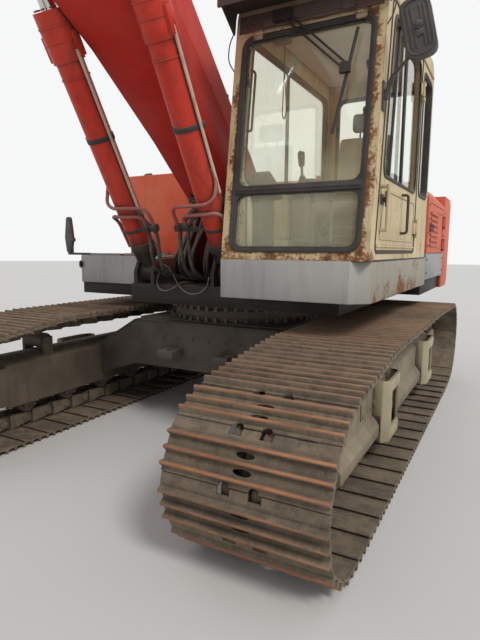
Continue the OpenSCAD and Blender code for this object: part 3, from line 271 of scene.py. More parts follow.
# %% Clouds, streaks and grain
tree, given, result = new_group("grime", [("Scale", 1.0)], [("Cloud", F), ("Streaks", F), ("Grain", F)])
sized = sized_point(tree, given["Scale"])
tall = add_node(tree, "ShaderNodeVectorMath", {0: sized, 1: (1.0, 1.0, 0.08)}, operation="MULTIPLY").outputs[0]
feed(result, {"Cloud": ramp(tree, noise(tree, 1.7, 6.0, 0.62, sized), 0.36, 0.66),
              "Streaks": ramp(tree, noise(tree, 16.0, 3.0, 0.6, tall), 0.5, 0.78),
              "Grain": noise(tree, 90.0, 3.0, 0.6, sized)})
grime_group = tree

# %% Rubbed edges
tree, given, result = new_group("edge_wear", [("Radius", 0.01), ("Amount", 0.5)], [("Mask", F)])
rounded = add_node(tree, "ShaderNodeBevel", {"Radius": given["Radius"]}, samples=6).outputs[0]
plain = add_node(tree, "ShaderNodeNewGeometry").outputs["Normal"]
together = add_node(tree, "ShaderNodeVectorMath", {0: rounded, 1: plain}, operation="DOT_PRODUCT").outputs["Value"]
edge = ramp(tree, minus(tree, 1.0, together), 0.004, 0.16)
ragged = ramp(tree, noise(tree, 13.0, 6.0, 0.7, surface_point(tree)), 0.38, 0.62)
feed(result, {"Mask": times(tree, times(tree, edge, ragged), given["Amount"], clamp=True)})
wear_group = tree

# %% Rust that breaks through
RUST_DARK, RUST_BRIGHT = (0.060, 0.022, 0.010, 1), (0.330, 0.125, 0.038, 1)
tree, given, result = new_group("rust", [("Amount", 0.3), ("Scale", 1.0), ("Near", 0.0)], [("Mask", F), ("Colour", C)])
sized = sized_point(tree, given["Scale"])
patches = times(tree, noise(tree, 3.1, 8.0, 0.68, sized), 0.62)
specks = times(tree, noise(tree, 38.0, 5.0, 0.7, sized), 0.38)
lift = times(tree, plus(tree, given["Amount"], given["Near"]), 0.34)
level = plus(tree, plus(tree, patches, specks), lift)
tone = noise(tree, 24.0, 5.0, 0.65, surface_point(tree))
rust_colour = add_node(tree, "ShaderNodeValToRGB", {0: tone})
for stop, colour, position in zip(rust_colour.color_ramp.elements, (RUST_DARK, RUST_BRIGHT), (0.30, 0.68)):
    stop.color, stop.position = colour, position
feed(result, {"Mask": ramp(tree, level, 0.635, 0.70), "Colour": rust_colour.outputs[0]})
rust_group = tree

# %% Dust on what faces up
tree, given, result = new_group("dust", [("Amount", 0.5)], [("Mask", F)])
facing = ramp(tree, axis(tree, surface_point(tree, "Normal"), "Z"), -0.25, 0.95)
thin = ramp(tree, noise(tree, 7.0, 7.0, 0.65, surface_point(tree)), 0.28, 0.72)
feed(result, {"Mask": times(tree, times(tree, facing, thin), given["Amount"], clamp=True)})
dust_group = tree

# %% Dirt and painted shade in corners
tree, given, result = new_group("corner_dirt_and_shade", [("Reach", 0.08), ("Amount", 0.6)], [("Mask", F)])
# Closed corners that ambient occlusion finds are darkened: dirt, and painted shade where little light reaches
open_share = add_node(tree, "ShaderNodeAmbientOcclusion", {"Distance": given["Reach"]}, samples=6).outputs["AO"]
shut = ramp(tree, minus(tree, 1.0, open_share), 0.12, 0.75)
feed(result, {"Mask": times(tree, shut, given["Amount"], clamp=True)})
corner_dirt_and_shade_group = tree
print("shared effects:", [g.name for g in bpy.data.node_groups])

# %% [markdown]
# ## Paints
#
# All painted steel is built by one function. It takes the fresh colour, the faded one and the amounts of each
# effect. The layers lie in the order they have on the machine: paint, fading, streaks, dirt and painted shade in the
# corners, bare rubbed edges, rust, and last the dust.

# %% Painted steel
# The colour of dirt in streaks, and of dirt and painted shade in corners
DIRT_AND_SHADE = (0.055, 0.043, 0.032, 1)
DUST = (0.36, 0.31, 0.235, 1)
BARE_UNDER_PAINT, BARE_STEEL = (0.19, 0.085, 0.04, 1), (0.42, 0.36, 0.30, 1)


def opaque(name):
    """A new material with its tree and its Principled BSDF."""
    material = bpy.data.materials.new(name)
    material.use_nodes = True
    tree = material.node_tree
    return material, tree, tree.nodes["Principled BSDF"]


def weathered(tree, colour, dirt_and_shade, edges, radius, bare, rust, dust):
    """Lays corner dirt and painted shade, rubbed edges, rust and dust over a colour.

    Gives the colour, the mask of the rust, and the mask of all that is dull.
    """
    dirt_and_shade_mask = use_group(tree, corner_dirt_and_shade_group, Amount=dirt_and_shade)[0]
    rubbed = use_group(tree, wear_group, Amount=edges, Radius=radius)[0]
    rusty = use_group(tree, rust_group, **rust)
    dusty = use_group(tree, dust_group, Amount=dust)[0]
    # The corner mask lays dirt and painted shade in one dark colour
    for mask, layer in ((dirt_and_shade_mask, DIRT_AND_SHADE), (rubbed, bare), (rusty["Mask"], rusty["Colour"]), (dusty, DUST)):
        colour = mix_colour(tree, mask, colour, layer)
    return colour, rusty["Mask"], greater(tree, rusty["Mask"], greater(tree, dusty, dirt_and_shade_mask))


def painted(name, fresh, faded, rust=0.1, edges=0.6, dust=0.4, dirt_and_shade=0.5, streak=0.35, rough=0.48, size=1.0,
            near=None, tone=None, gloss=0.5):
    """Weathered paint on steel.

    near may be a function of the tree that makes a mask of extra rust, and tone one of the tree and the paint's
    colour that gives the colour where the paint differs.
    """
    material, tree, shader = opaque(name)
    grime = use_group(tree, grime_group, Scale=size)
    colour = mix_colour(tree, grime["Cloud"], fresh, faded)
    if tone:
        colour = tone(tree, colour)
    colour = mix_colour(tree, times(tree, grime["Streaks"], streak), colour, DIRT_AND_SHADE)
    rust_inputs = {"Amount": rust, "Scale": size}
    if near:
        rust_inputs["Near"] = near(tree)
    colour, rusty, dull = weathered(tree, colour, dirt_and_shade, edges, 0.012, BARE_UNDER_PAINT, rust_inputs, dust)
    height = plus(tree, times(tree, grime["Grain"], 0.35), minus(tree, 1.0, rusty))
    feed(shader, {"Base Color": colour, "Normal": bump(tree, height, 0.35, 0.0015), "Specular IOR Level": gloss,
                  "Roughness": plus(tree, ramp(tree, dull, 0, 1, rough, 0.9), times(tree, grime["Grain"], 0.08))})
    return material


def below(low, high, other):
    """A tone function: another colour below a height, with a ragged upper limit, in metres above the ground."""
    def tone(tree, colour):
        where = surface_point(tree)
        ragged = times(tree, noise(tree, 9.0, 6.0, 0.65, where), (high - low) * 0.9)
        share = minus(tree, 1.0, ramp(tree, plus(tree, axis(tree, where, "Z"), ragged), low, high))
        return mix_colour(tree, share, colour, other)
    return tone


# Nearly black, laid over the revolving frame and the boom cylinders towards the bottom
NEAR_BLACK = (0.020, 0.016, 0.013, 1)
RED = {"rust": 0.0, "edges": 0.7, "dust": 0.10, "dirt_and_shade": 0.6, "streak": 0.2, "gloss": 0.28}
red_paint = painted("red_paint", (0.56, 0.014, 0.010, 1), (0.60, 0.045, 0.028, 1), **RED)
# The revolving frame takes a darker copy of the red paint, as painted shade under the house; towards its foot it turns
# nearly black
chassis_shade_paint = painted("chassis_shade_paint", (0.40, 0.020, 0.013, 1), (0.46, 0.062, 0.040, 1),
                        tone=below(1.50, 1.86, NEAR_BLACK), **RED)
ORANGE = (0.62, 0.070, 0.020, 1), (0.66, 0.14, 0.055, 1)
HOUSE_WEAR = {"rust": -0.02, "edges": 0.8, "dust": 0.2, "dirt_and_shade": 0.5, "streak": 0.25}
orange_paint = painted("orange_paint", *ORANGE, **HOUSE_WEAR)
cylinder_paint = painted("cylinder_paint", (0.60, 0.030, 0.014, 1), (0.64, 0.062, 0.034, 1), rust=-0.01, edges=0.8,
                         dust=0.07, dirt_and_shade=0.9, streak=0.5, rough=0.40, gloss=0.35, tone=below(1.54, 1.70, NEAR_BLACK))
grey_paint = painted("grey_paint", (0.36, 0.35, 0.325, 1), (0.45, 0.435, 0.40, 1), rust=0.0, edges=0.7, dust=0.35,
                     dirt_and_shade=0.45, streak=0.3)
FRAME = {"rust": 0.06, "edges": 0.6, "dust": 0.6, "dirt_and_shade": 0.8, "streak": 0.5, "rough": 0.7}
frame_paint = painted("frame_paint", (0.155, 0.120, 0.070, 1), (0.255, 0.210, 0.135, 1), **FRAME)
FAR = {**FRAME, "dust": 0.35}
# The far track's frame takes a darker copy of the frame paint: painted shade
shaded_frame_paint = painted("shaded_frame_paint", (0.075, 0.056, 0.038, 1), (0.140, 0.108, 0.074, 1), **FAR)
step_paint = painted("step_paint", (0.36, 0.30, 0.19, 1), (0.50, 0.44, 0.31, 1), **FRAME)
carbody_paint = painted("carbody_paint", (0.052, 0.044, 0.037, 1), (0.100, 0.083, 0.069, 1), **FAR)
dark_paint = painted("dark_paint", (0.030, 0.027, 0.025, 1), (0.060, 0.052, 0.046, 1), rust=0.1, edges=0.6, dust=0.4,
                     dirt_and_shade=0.3, streak=0.2, rough=0.6)
black_paint = painted("black_paint", (0.012, 0.011, 0.011, 1), (0.030, 0.027, 0.025, 1), rust=-0.05, edges=0.4,
                      dust=0.08, dirt_and_shade=0.3, streak=0.1)
print("paints made")

# %% [markdown]
# ## Metals, rubber, glass and cloth
#
# Bare steel on a crawler is brown: dry mud lies in the hollows of the shoes, which are darkened there with painted
# shade as well, and only the tips of the bars are rubbed to an orange-brown gleam. A vertex attribute named `rub`,
# painted on each shoe from the height of the bar, tells the track material where that is. Rubber is nearly black but
# never shiny all over. Window glass is dusty and slightly green, and keeps a plain transmission so that any program
# can read it.

# %% Track steel
MUD_ZONE = (0.24, 0.06)     # how far under the top of the loop the bars get muddier
track_steel, tree, shader = opaque("track_steel")
where = surface_point(tree)
rub, shade = (add_node(tree, "ShaderNodeAttribute", attribute_name=name).outputs["Fac"] for name in ("rub", "shade"))
cloud = use_group(tree, grime_group, Scale=1.6)["Cloud"]
speckle = ramp(tree, noise(tree, 75.0, 5.0, 0.75, where), 0.42, 0.66)
mud = ramp(tree, noise(tree, 10.0, 7.0, 0.78, where), 0.46, 0.60)
# Dirt and painted shade in the hollows of the shoes, found by ambient occlusion
corner = use_group(tree, corner_dirt_and_shade_group, Amount=0.75, Reach=0.05)[0]
plate = mix_colour(tree, cloud, (0.100, 0.074, 0.050, 1), (0.215, 0.164, 0.112, 1))
for share, layer in ((times(tree, speckle, 0.45), (0.27, 0.21, 0.145, 1)),
                     (times(tree, shade, 0.30), (0.32, 0.255, 0.17, 1)),
                     (times(tree, mud, 0.6), (0.070, 0.058, 0.047, 1)), (corner, (0.035, 0.026, 0.019, 1))):
    plate = mix_colour(tree, share, plate, layer)
rub = plus(tree, rub, times(tree, minus(tree, shade, 0.5), 0.3))
worn = ramp(tree, plus(tree, rub, times(tree, noise(tree, 7.0, 6.0, 0.75, where), 0.9)), 1.06, 1.52)
run_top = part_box("track_left")[1].z
muddy = ramp(tree, axis(tree, where, "Z"), run_top - MUD_ZONE[0], run_top - MUD_ZONE[1], 1.0, 0.38)
worn = times(tree, worn, muddy)
tip_tone = ramp(tree, noise(tree, 5.0, 4.0, 0.6, where), 0.35, 0.65)
tip = mix_colour(tree, tip_tone, (0.24, 0.085, 0.034, 1), (0.47, 0.215, 0.095, 1))
pits = plus(tree, noise(tree, 130.0, 4.0, 0.7, where), times(tree, noise(tree, 22.0, 4.0, 0.6, where), 0.8))
feed(shader, {"Base Color": mix_colour(tree, worn, plate, tip), "Roughness": ramp(tree, worn, 0, 1, 0.86, 0.5),
              "Metallic": times(tree, worn, 0.25), "Normal": bump(tree, pits, 0.55, 0.004)})


# %% Other steels
def steel(name, dark, bright, rough=0.5, metallic=0.6, edges=0.6, dust=0.3, rust=0.2):
    """Unpainted steel: dark and bright tones in clouds, rubbed edges, rust and dust."""
    material, tree, shader = opaque(name)
    grime = use_group(tree, grime_group)
    colour = mix_colour(tree, grime["Cloud"], dark, bright)
    colour, rusty, dull = weathered(tree, colour, 0.6, edges, 0.01, BARE_STEEL, {"Amount": rust}, dust)
    feed(shader, {"Base Color": colour, "Roughness": ramp(tree, dull, 0, 1, rough, 0.9),
                  "Metallic": ramp(tree, dull, 0, 1, metallic, 0.0), "Normal": bump(tree, grime["Grain"], 0.4, 0.002)})
    return material


PLAIN = {"metallic": 0.0, "edges": 0.0, "rust": 0.0}
wheel_steel = steel("wheel_steel", (0.075, 0.058, 0.045, 1), (0.16, 0.125, 0.10, 1), rough=0.65, metallic=0.2, dust=0.5)
ring_steel = steel("ring_steel", (0.105, 0.085, 0.064, 1), (0.20, 0.165, 0.125, 1), rough=0.6, metallic=0.3, dust=0.5)
bucket_steel = steel("bucket_steel", (0.14, 0.115, 0.095, 1), (0.30, 0.26, 0.22, 1), rough=0.42, metallic=0.6,
                     rust=0.25)
ring_bolt_steel = steel("ring_bolt_steel", (0.15, 0.125, 0.10, 1), (0.27, 0.225, 0.18, 1), rough=0.6, metallic=0.2,
                        dust=0.4)
earth = steel("earth", (0.075, 0.058, 0.042, 1), (0.16, 0.13, 0.095, 1), rough=0.95, dust=0.3, **PLAIN)
# A near-black finish for sheets and discs that stand for the inside of holes: painted shade
hole_shade = steel("hole_shade", (0.010, 0.009, 0.008, 1), (0.020, 0.017, 0.015, 1), rough=0.9, dust=0.05, **PLAIN)
bolt_steel = steel("bolt_steel", (0.06, 0.05, 0.042, 1), (0.14, 0.115, 0.095, 1), rough=0.55, metallic=0.4, dust=0.2)

chrome, tree, shader = opaque("chrome_rod")
grime = use_group(tree, grime_group, Scale=3.0)
feed(shader, {"Base Color": mix_colour(tree, grime["Cloud"], (0.74, 0.74, 0.73, 1), (0.60, 0.59, 0.565, 1)),
              "Roughness": ramp(tree, grime["Grain"], 0, 1, 0.08, 0.24), "Metallic": 1.0})


# %% Rubber, plastic and cloth
def soft_black(name, dark, light, rough=0.7, size=1.0, weave=0.0, dust=0.3):
    """Rubber, plastic or cloth: nearly black, with pale scuffs, and a weave if it is cloth."""
    material, tree, shader = opaque(name)
    grime = use_group(tree, grime_group, Scale=2.2 * size)
    colour = mix_colour(tree, grime["Cloud"], dark, light)
    colour = mix_colour(tree, use_group(tree, dust_group, Amount=dust)[0], colour, DUST)
    height = grime["Grain"]
    for bands in ("X", "Z") if weave else ():
        threads = {"Vector": surface_point(tree), "Scale": weave}
        height = plus(tree, height, add_node(tree, "ShaderNodeTexWave", threads, bands_direction=bands).outputs["Fac"])
    feed(shader, {"Base Color": colour, "Normal": bump(tree, height, 0.35, 0.0012),
                  "Roughness": ramp(tree, grime["Grain"], 0, 1, rough - 0.12, rough + 0.15)})
    return material


CLOTH = {"rough": 0.9, "weave": 260.0}
rubber = soft_black("rubber", (0.016, 0.014, 0.014, 1), (0.045, 0.040, 0.038, 1), rough=0.62, dust=0.25)
hose_rubber = soft_black("hose_rubber", (0.013, 0.012, 0.012, 1), (0.090, 0.076, 0.056, 1), rough=0.6, size=7.0,
                         dust=0.42)
wire_sheath = soft_black("wire_sheath", (0.13, 0.118, 0.10, 1), (0.27, 0.25, 0.21, 1), rough=0.6)
plastic = soft_black("trim_plastic", (0.035, 0.032, 0.030, 1), (0.075, 0.068, 0.062, 1), rough=0.5, dust=0.35)
seat_cloth = soft_black("seat_cloth", (0.105, 0.110, 0.100, 1), (0.185, 0.190, 0.170, 1), **CLOTH)
headrest_cloth = soft_black("headrest_cloth", (0.11, 0.13, 0.115, 1), (0.20, 0.22, 0.19, 1), **CLOTH)
console_finish = soft_black("console_plastic", (0.12, 0.12, 0.105, 1), (0.22, 0.215, 0.185, 1), rough=0.6, dust=0.45)
back_cloth = soft_black("back_cloth", (0.40, 0.38, 0.26, 1), (0.52, 0.50, 0.37, 1), dust=0.2, **CLOTH)
lining = soft_black("cab_lining", (0.66, 0.62, 0.44, 1), (0.76, 0.72, 0.54, 1), rough=0.8, dust=0.1)

# %% Glass
glass, tree, shader = opaque("window_glass")
film = ramp(tree, noise(tree, 2.6, 6.0, 0.65, surface_point(tree)), 0.35, 0.75)
# Daylight falls through the panes into the cab, so they are open to the rays that only carry light
rays = add_node(tree, "ShaderNodeLightPath").outputs
light_only = greater(tree, rays["Is Shadow Ray"], rays["Is Diffuse Ray"])
feed(shader, {"Base Color": mix_colour(tree, film, (0.97, 0.985, 0.93, 1), (0.93, 0.955, 0.85, 1)),
              "Roughness": ramp(tree, film, 0, 1, 0.0, 0.06), "Transmission Weight": 1.0, "IOR": 1.45,
              "Alpha": minus(tree, 1.0, times(tree, light_only, 0.92))})

# The film of dust on the panes is thicker below this zone of heights
DUST_ZONE = (1.95, 2.15)
pane_dust, tree, shader = opaque("pane_dust")
where = surface_point(tree)
thick = ramp(tree, axis(tree, where, "Z"), *DUST_ZONE, 0.25, 0.10)
blots = ramp(tree, noise(tree, 4.2, 7.0, 0.66, where), 0.1, 0.9)
feed(shader, {"Base Color": mix_colour(tree, blots, (0.72, 0.68, 0.42, 1), (0.82, 0.79, 0.54, 1)), "Roughness": 0.95,
              "Alpha": times(tree, thick, plus(tree, 0.35, times(tree, blots, 0.65)))})

# %% Floor finish
floor_finish, tree, shader = opaque("floor")
tone = noise(tree, 0.8, 4.0, 0.5, surface_point(tree))
feed(shader, {"Base Color": mix_colour(tree, tone, (0.60, 0.59, 0.575, 1), (0.66, 0.655, 0.64, 1)), "Roughness": 0.85})
floor.data.materials.append(floor_finish)
print("finishes:", len(bpy.data.materials))

# %% [markdown]
# ## Rust of the cab's front
#
# The cab is cream, and its front has rusted in a band all round the windscreens, where water stands behind the
# rubber, and along its lower edge. That band is worked out from the distance to the rim of the windscreens, measured
# in the raked plane of the cab's front.

# %% Cab paint
cab_low, cab_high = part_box("cab_base")
cab_x0, cab_x1 = cab_low.x, cab_high.x
floor_z = cab_high.z
RAKE = math.radians(7.8)
FRONT_Y = -1304     # the cab's front at its floor
SCREEN_MARGIN, SCREEN_SPAN = 0.062, (0.058, 1.45)   # the windscreens' place inside the cab's front, from its floor


def screen_rust(tree):
    """Extra rust, strongest at the rims of the windscreens and on the lower edge of the cab."""
    where = surface_point(tree)
    across, along, up = (axis(tree, where, letter) for letter in "XYZ")
    half_w, half_h = (cab_x1 - cab_x0) / 2 - SCREEN_MARGIN, (SCREEN_SPAN[1] - SCREEN_SPAN[0]) / 2
    beyond = [minus(tree, math_node(tree, "ABSOLUTE", minus(tree, value, middle)), half) for value, middle, half in (
        (across, (cab_x0 + cab_x1) / 2, half_w), (up, floor_z + sum(SCREEN_SPAN) / 2, half_h))]
    rim = ramp(tree, math_node(tree, "ABSOLUTE", greater(tree, *beyond)), 0.0, 0.085, 0.57, 0.0)
    foot = ramp(tree, minus(tree, up, floor_z), 0.0, 0.14, 0.5, 0.0)
    front = ramp(tree, minus(tree, along, slew_y + FRONT_Y / 1000), 0.15, 0.32, 1.0, 0.0)
    return greater(tree, times(tree, rim, front), times(tree, foot, plus(tree, 0.25, times(tree, front, 0.75))))


header_paint = painted("header_paint", (0.070, 0.052, 0.052, 1), (0.125, 0.09, 0.085, 1), rust=0.22, edges=0.8,
                       dust=0.3, dirt_and_shade=0.4, streak=0.3, rough=0.6)
rusty_cream = painted("rusty_cream", (0.36, 0.28, 0.17, 1), (0.50, 0.42, 0.28, 1), rust=0.45, edges=0.8, dust=0.3,
                      dirt_and_shade=0.4)
# The long tubes on the barrels are pale cream paint, made paler still as a painted highlight along them
long_tube_highlight_paint = painted("long_tube_highlight_paint", (0.62, 0.46, 0.36, 1), (0.70, 0.58, 0.46, 1), rust=0.12, edges=0.5,
                          dust=0.2, dirt_and_shade=0.3)
tube_paint = painted("tube_paint", (0.33, 0.075, 0.062, 1), (0.40, 0.16, 0.13, 1), rust=-0.02, edges=0.5, dust=0.45,
                     dirt_and_shade=0.4)
cream_paint = painted("cream_paint", (0.55, 0.42, 0.20, 1), (0.66, 0.54, 0.32, 1), rust=0.09, edges=0.9, dust=0.22,
                      dirt_and_shade=0.6, streak=0.45, size=1.4, near=screen_rust)


def outer_side(tree):
    """1 on the cab's outer side, which faces along +X."""
    return ramp(tree, axis(tree, surface_point(tree, "Normal"), "X"), 0.6, 0.9)


def side_cream(tree, colour):
    """The skirt is grey in front and yellowed on the cab's outer side."""
    return mix_colour(tree, times(tree, outer_side(tree), 0.75), colour, (0.27, 0.235, 0.155, 1))


def side_rust(tree):
    """More rust on that side, most of all along its lower edge."""
    low = ramp(tree, axis(tree, surface_point(tree), "Z"), cab_low.z, cab_low.z + 0.14, 0.55, 0.30)
    return times(tree, outer_side(tree), low)


skirt_paint = painted("skirt_paint", (0.35, 0.35, 0.34, 1), (0.44, 0.435, 0.415, 1), rust=-0.01, edges=0.8, dust=0.2,
                      dirt_and_shade=0.4, streak=0.25, tone=side_cream, near=side_rust)
shell_paint = painted("shell_paint", *ORANGE, tone=below(floor_z + 0.04, floor_z + 0.05, (0.30, 0.31, 0.31, 1)),
                      **HOUSE_WEAR)
print("cab paint made")

# %% Finishes for the CAD solids
FINISH_OF = {
    "carbody": carbody_paint, "slew_ring_lower": ring_steel, "slew_ring_upper": ring_steel,
    "track_frame_left": frame_paint, "track_frame_right": shaded_frame_paint, "steps": step_paint,
    "track_left": track_steel, "track_right": track_steel, "idlers": wheel_steel, "sprockets": wheel_steel,
    "rollers": wheel_steel, "revolving_frame": chassis_shade_paint, "cab_base": skirt_paint, "right_deck": skirt_paint,
    "fuel_tank": orange_paint, "house_shell": shell_paint, "engine_block": dark_paint, "counterweight": orange_paint,
    "exhaust": dark_paint, "cab_shell": cream_paint, "cab_glass": glass, "window_seals": rubber, "seat": seat_cloth,
    "console": plastic, "visor": dark_paint, "wiper": black_paint, "mirror_left": plastic, "mirror_right": plastic,
    "cab_door": cream_paint, "door_glass": glass, "hood": orange_paint, "service_door_left": orange_paint,
    "service_door_right": orange_paint, "boom": red_paint, "stick": red_paint, "rocker": red_paint,
    "bucket_link": red_paint, "bucket": bucket_steel,
}
for name, node in frame["nodes"].items():
    finish = FINISH_OF.get(name) or (chrome if "_rod" in name else cylinder_paint)
    if len(node.data.materials):
        for i in range(len(node.data.materials)):
            node.data.materials[i] = finish
    else:
        node.data.materials.append(finish)
print("finished", len(frame["nodes"]), "CAD nodes")

# %% [markdown]
# ## Modelling tools
#
# New pieces are modelled as by hand: a primitive is added, shaped in edit mode, and bevelled. These short helpers
# hold the steps that come back for every piece. `settle` ends each one: it puts the object at the origin with its
# place in its mesh, gives it its finish, and makes it ride on a body.

# %% Helpers
def only(obj):
    """Selects this object alone and makes it active."""
    bpy.ops.object.select_all(action="DESELECT")
    obj.select_set(True)
    bpy.context.view_layer.objects.active = obj


def added(add, **settings):
    """An object that one of Blender's add operators makes, its place and size kept in its mesh."""
    bpy.ops.object.select_all(action="DESELECT")
    add(**settings)
    obj = bpy.context.object
    only(obj)
    bpy.ops.object.transform_apply(location=True, rotation=True, scale=True)
    return obj


def extruded(view, x, width):
    """A plate whose side view is a list of (y, z), starting at x and so wide, all in millimetres.

    It's a flat face that is extruded in edit mode, so that its faces point outwards.
    """
    obj = added(bpy.ops.mesh.primitive_circle_add, vertices=len(view), radius=1, fill_type="NGON")
    for vertex, point in zip(obj.data.vertices, view):
        vertex.co = [c / 1000 for c in (x, *point)]
    bpy.ops.object.mode_set(mode="EDIT")
    bpy.ops.mesh.select_all(action="SELECT")
    bpy.ops.mesh.extrude_region_move(TRANSFORM_OT_translate={"value": (width / 1000, 0, 0)})
    bpy.ops.mesh.select_all(action="SELECT")
    bpy.ops.mesh.normals_make_consistent(inside=False)
    bpy.ops.object.mode_set(mode="OBJECT")
    return obj


def linked(name, data):
    """A new object in the scene with this data."""
    obj = bpy.data.objects.new(name, data)
    bpy.context.scene.collection.objects.link(obj)
    return obj


def finished(mesh, bevel=0.0, segments=2, angle=35):
    """Turns an edited mesh into an object, its edges sharper than the angle bevelled by so many millimetres."""
    bmesh.ops.recalc_face_normals(mesh, faces=mesh.faces)
    if bevel:
        sharp = [e for e in mesh.edges if len(e.link_faces) == 2 and e.calc_face_angle() > math.radians(angle)]
        bmesh.ops.bevel(mesh, geom=sharp, offset=bevel / 1000, offset_type="OFFSET", segments=segments, profile=0.5,
                        affect="EDGES", clamp_overlap=True)
    data = bpy.data.meshes.new("part")
    mesh.to_mesh(data)
    mesh.free()
    return linked("part", data)


def moved_cube(matrix, bevel=0.0, segments=2):
    """A cube of one metre that a matrix sizes, turns and moves."""
    mesh = bmesh.new()
    bmesh.ops.create_cube(mesh, size=1, matrix=matrix)
    return finished(mesh, bevel, segments)


def soften(obj, width, segments=2, angle=35):
    """Bevels the sharp edges of an object with a modifier."""
    only(obj)
    edge = obj.modifiers.new("bevel", "BEVEL")
    edge.width, edge.segments, edge.harden_normals = width / 1000, segments, False
    edge.limit_method, edge.angle_limit = "ANGLE", math.radians(angle)
    bpy.ops.object.modifier_apply(modifier=edge.name)


def block(x, y, z, bevel=0.0, segments=2):
    """A box between two places along each axis, in millimetres from the slewing axis, with softened edges."""
    low, high = (place(*corner) for corner in zip(x, y, z))
    return moved_cube(Matrix.Translation((low + high) / 2) @ Matrix.Diagonal((*(high - low), 1)), bevel, segments)


def prism(at, points, ends, bevel=0.0, segments=2, angle=35):
    """A plate with this outline between two ends. at(a, b, end) turns a point of the outline into a place."""
    low, high = ([place(*at(p[0], p[1], end)) for p in points] for end in ends)
    mesh = bmesh.new()
    bottom, top = ([mesh.verts.new(p) for p in line] for line in (low, high))
    mesh.faces.new(bottom)
    mesh.faces.new(top)
    for i in range(len(bottom)):
        k = (i + 1) % len(bottom)
        mesh.faces.new((bottom[i], bottom[k], top[k], top[i]))
    return finished(mesh, bevel, segments, angle)


def outline(points, x0, x1, bevel=0.0, segments=2):
    """A plate with this side view, as (y, z) in millimetres, from x0 to x1."""
    return prism(lambda y, z, x: (x, y, z), points, (x0, x1), bevel, segments)


def plan(points, z0, z1, bevel):
    """A plate with this plan, as (x, y) in millimetres, from z0 to z1."""
    return prism(lambda x, y, z: (x, y, z), points, (z0, z1), bevel)


def shaft(start, end, r, bevel=0.0, sides=24, taper=1.0):
    """A round bar between two places in millimetres, its rims softened."""
    a, b = place(*start), place(*end)
    run = b - a
    mesh = bmesh.new()
    at_middle = Matrix.Translation((a + b) / 2) @ run.to_track_quat("Z", "Y").to_matrix().to_4x4()
    bmesh.ops.create_cone(mesh, cap_ends=True, segments=sides, radius1=r / 1000, radius2=r * taper / 1000,
                          depth=run.length, matrix=at_middle)
    return finished(mesh, bevel, 2)


ARC_STEPS = 6       # parts of each turned corner of a pipe


def pipe(points, r, sides=10, rounding=0.0):
    """A tube that follows places in millimetres. Its corners are turned over that length of both runs."""
    path = [place(*p) for p in points]
    line = [path[0]]
    for before, corner, after in zip(path, path[1:], path[2:]):
        back, ahead = (before - corner), (after - corner)
        cut = min(rounding / 1000, back.length * 0.49, ahead.length * 0.49)
        if cut > 0:
            start, end = corner + back.normalized() * cut, corner + ahead.normalized() * cut
            for t in (i / ARC_STEPS for i in range(ARC_STEPS + 1)):
                line.append(start * (1 - t) ** 2 + corner * 2 * t * (1 - t) + end * t ** 2)
        else:
            line.append(corner)
    return tube_along(line + [path[-1]], r, sides)


def tube_along(line, r, sides):
    """A closed tube round a line of points in metres. Its rings are carried along the line without twist."""
    mesh = bmesh.new()
    rows, across_line = [], None
    for i, point in enumerate(line):
        run = (line[min(i + 1, len(line) - 1)] - line[max(i - 1, 0)]).normalized()
        if across_line is None:
            across_line = run.orthogonal()
        across_line = (across_line - run * across_line.dot(run)).normalized()
        other = run.cross(across_line)
        rows.append([mesh.verts.new(point + (across_line * math.cos(a) + other * math.sin(a)) * r / 1000)
                     for a in (math.tau * k / sides for k in range(sides))])
    for a, b in zip(rows, rows[1:]):
        for k in range(sides):
            mesh.faces.new((a[k], a[(k + 1) % sides], b[(k + 1) % sides], b[k]))
    mesh.faces.new(rows[0])
    mesh.faces.new(rows[-1])
    return finished(mesh)


def merged(name, parts):
    """Joins parts into one object."""
    bpy.ops.object.select_all(action="DESELECT")
    for part in parts:
        part.select_set(True)
    bpy.context.view_layer.objects.active = parts[0]
    if len(parts) > 1:
        bpy.ops.object.join()
    obj = bpy.context.object
    obj.name = obj.data.name = name
    return obj


def settle(name, parts, finish, body, replaces=(), smooth=35):
    """Ends a piece: one object at the origin, shaded, finished, and riding on its body."""
    obj = merged(name, parts if isinstance(parts, (list, tuple)) else [parts])
    only(obj)
    bpy.ops.object.transform_apply(location=True, rotation=True, scale=True)
    bpy.ops.object.shade_smooth_by_angle(angle=math.radians(smooth))
    obj.data.materials.clear()
    obj.data.materials.append(finish)
    for face in obj.data.polygons:
        face.material_index = 0
    if replaces:
        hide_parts(*replaces)
    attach(obj, body)
    return obj


def copied(source):
    """A copy of an object with a mesh of its own."""
    twin = source.copy()
    twin.data = source.data.copy()
    bpy.context.scene.collection.objects.link(twin)
    return twin


def softened(node, width, body, slot, segments=2, finish=None):
    """A copy of a CAD solid with its sharp edges rounded, which then stands for that solid."""
    source = frame["nodes"][node]
    obj = copied(source)
    obj.name = obj.data.name = f"{node}_rounded"
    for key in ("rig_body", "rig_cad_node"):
        if key in obj:
            del obj[key]
    obj.parent = None
    obj.matrix_world = Matrix.Identity(4)
    mesh = bmesh.new()
    mesh.from_mesh(obj.data)
    bmesh.ops.remove_doubles(mesh, verts=mesh.verts, dist=0.0002)
    bmesh.ops.dissolve_limit(mesh, angle_limit=math.radians(1.5), verts=mesh.verts, edges=mesh.edges)
    mesh.to_mesh(obj.data)
    mesh.free()
    only(obj)
    bpy.ops.mesh.customdata_custom_splitnormals_clear()
    soften(obj, width, segments)
    return settle(obj.name, obj, finish or source.data.materials[0], body, replaces=(node,))

# %% [markdown]
# ## Tracks
#
# A crawler track is a chain of forged links that carries bent steel shoes, three bars on each. In the CAD model it is
# one closed loop. Here the same loop is worked out again from its wheels, and one shoe and one link are modelled and
# laid along it. The chain's pins lie on a belt round the wheels, at equal steps.

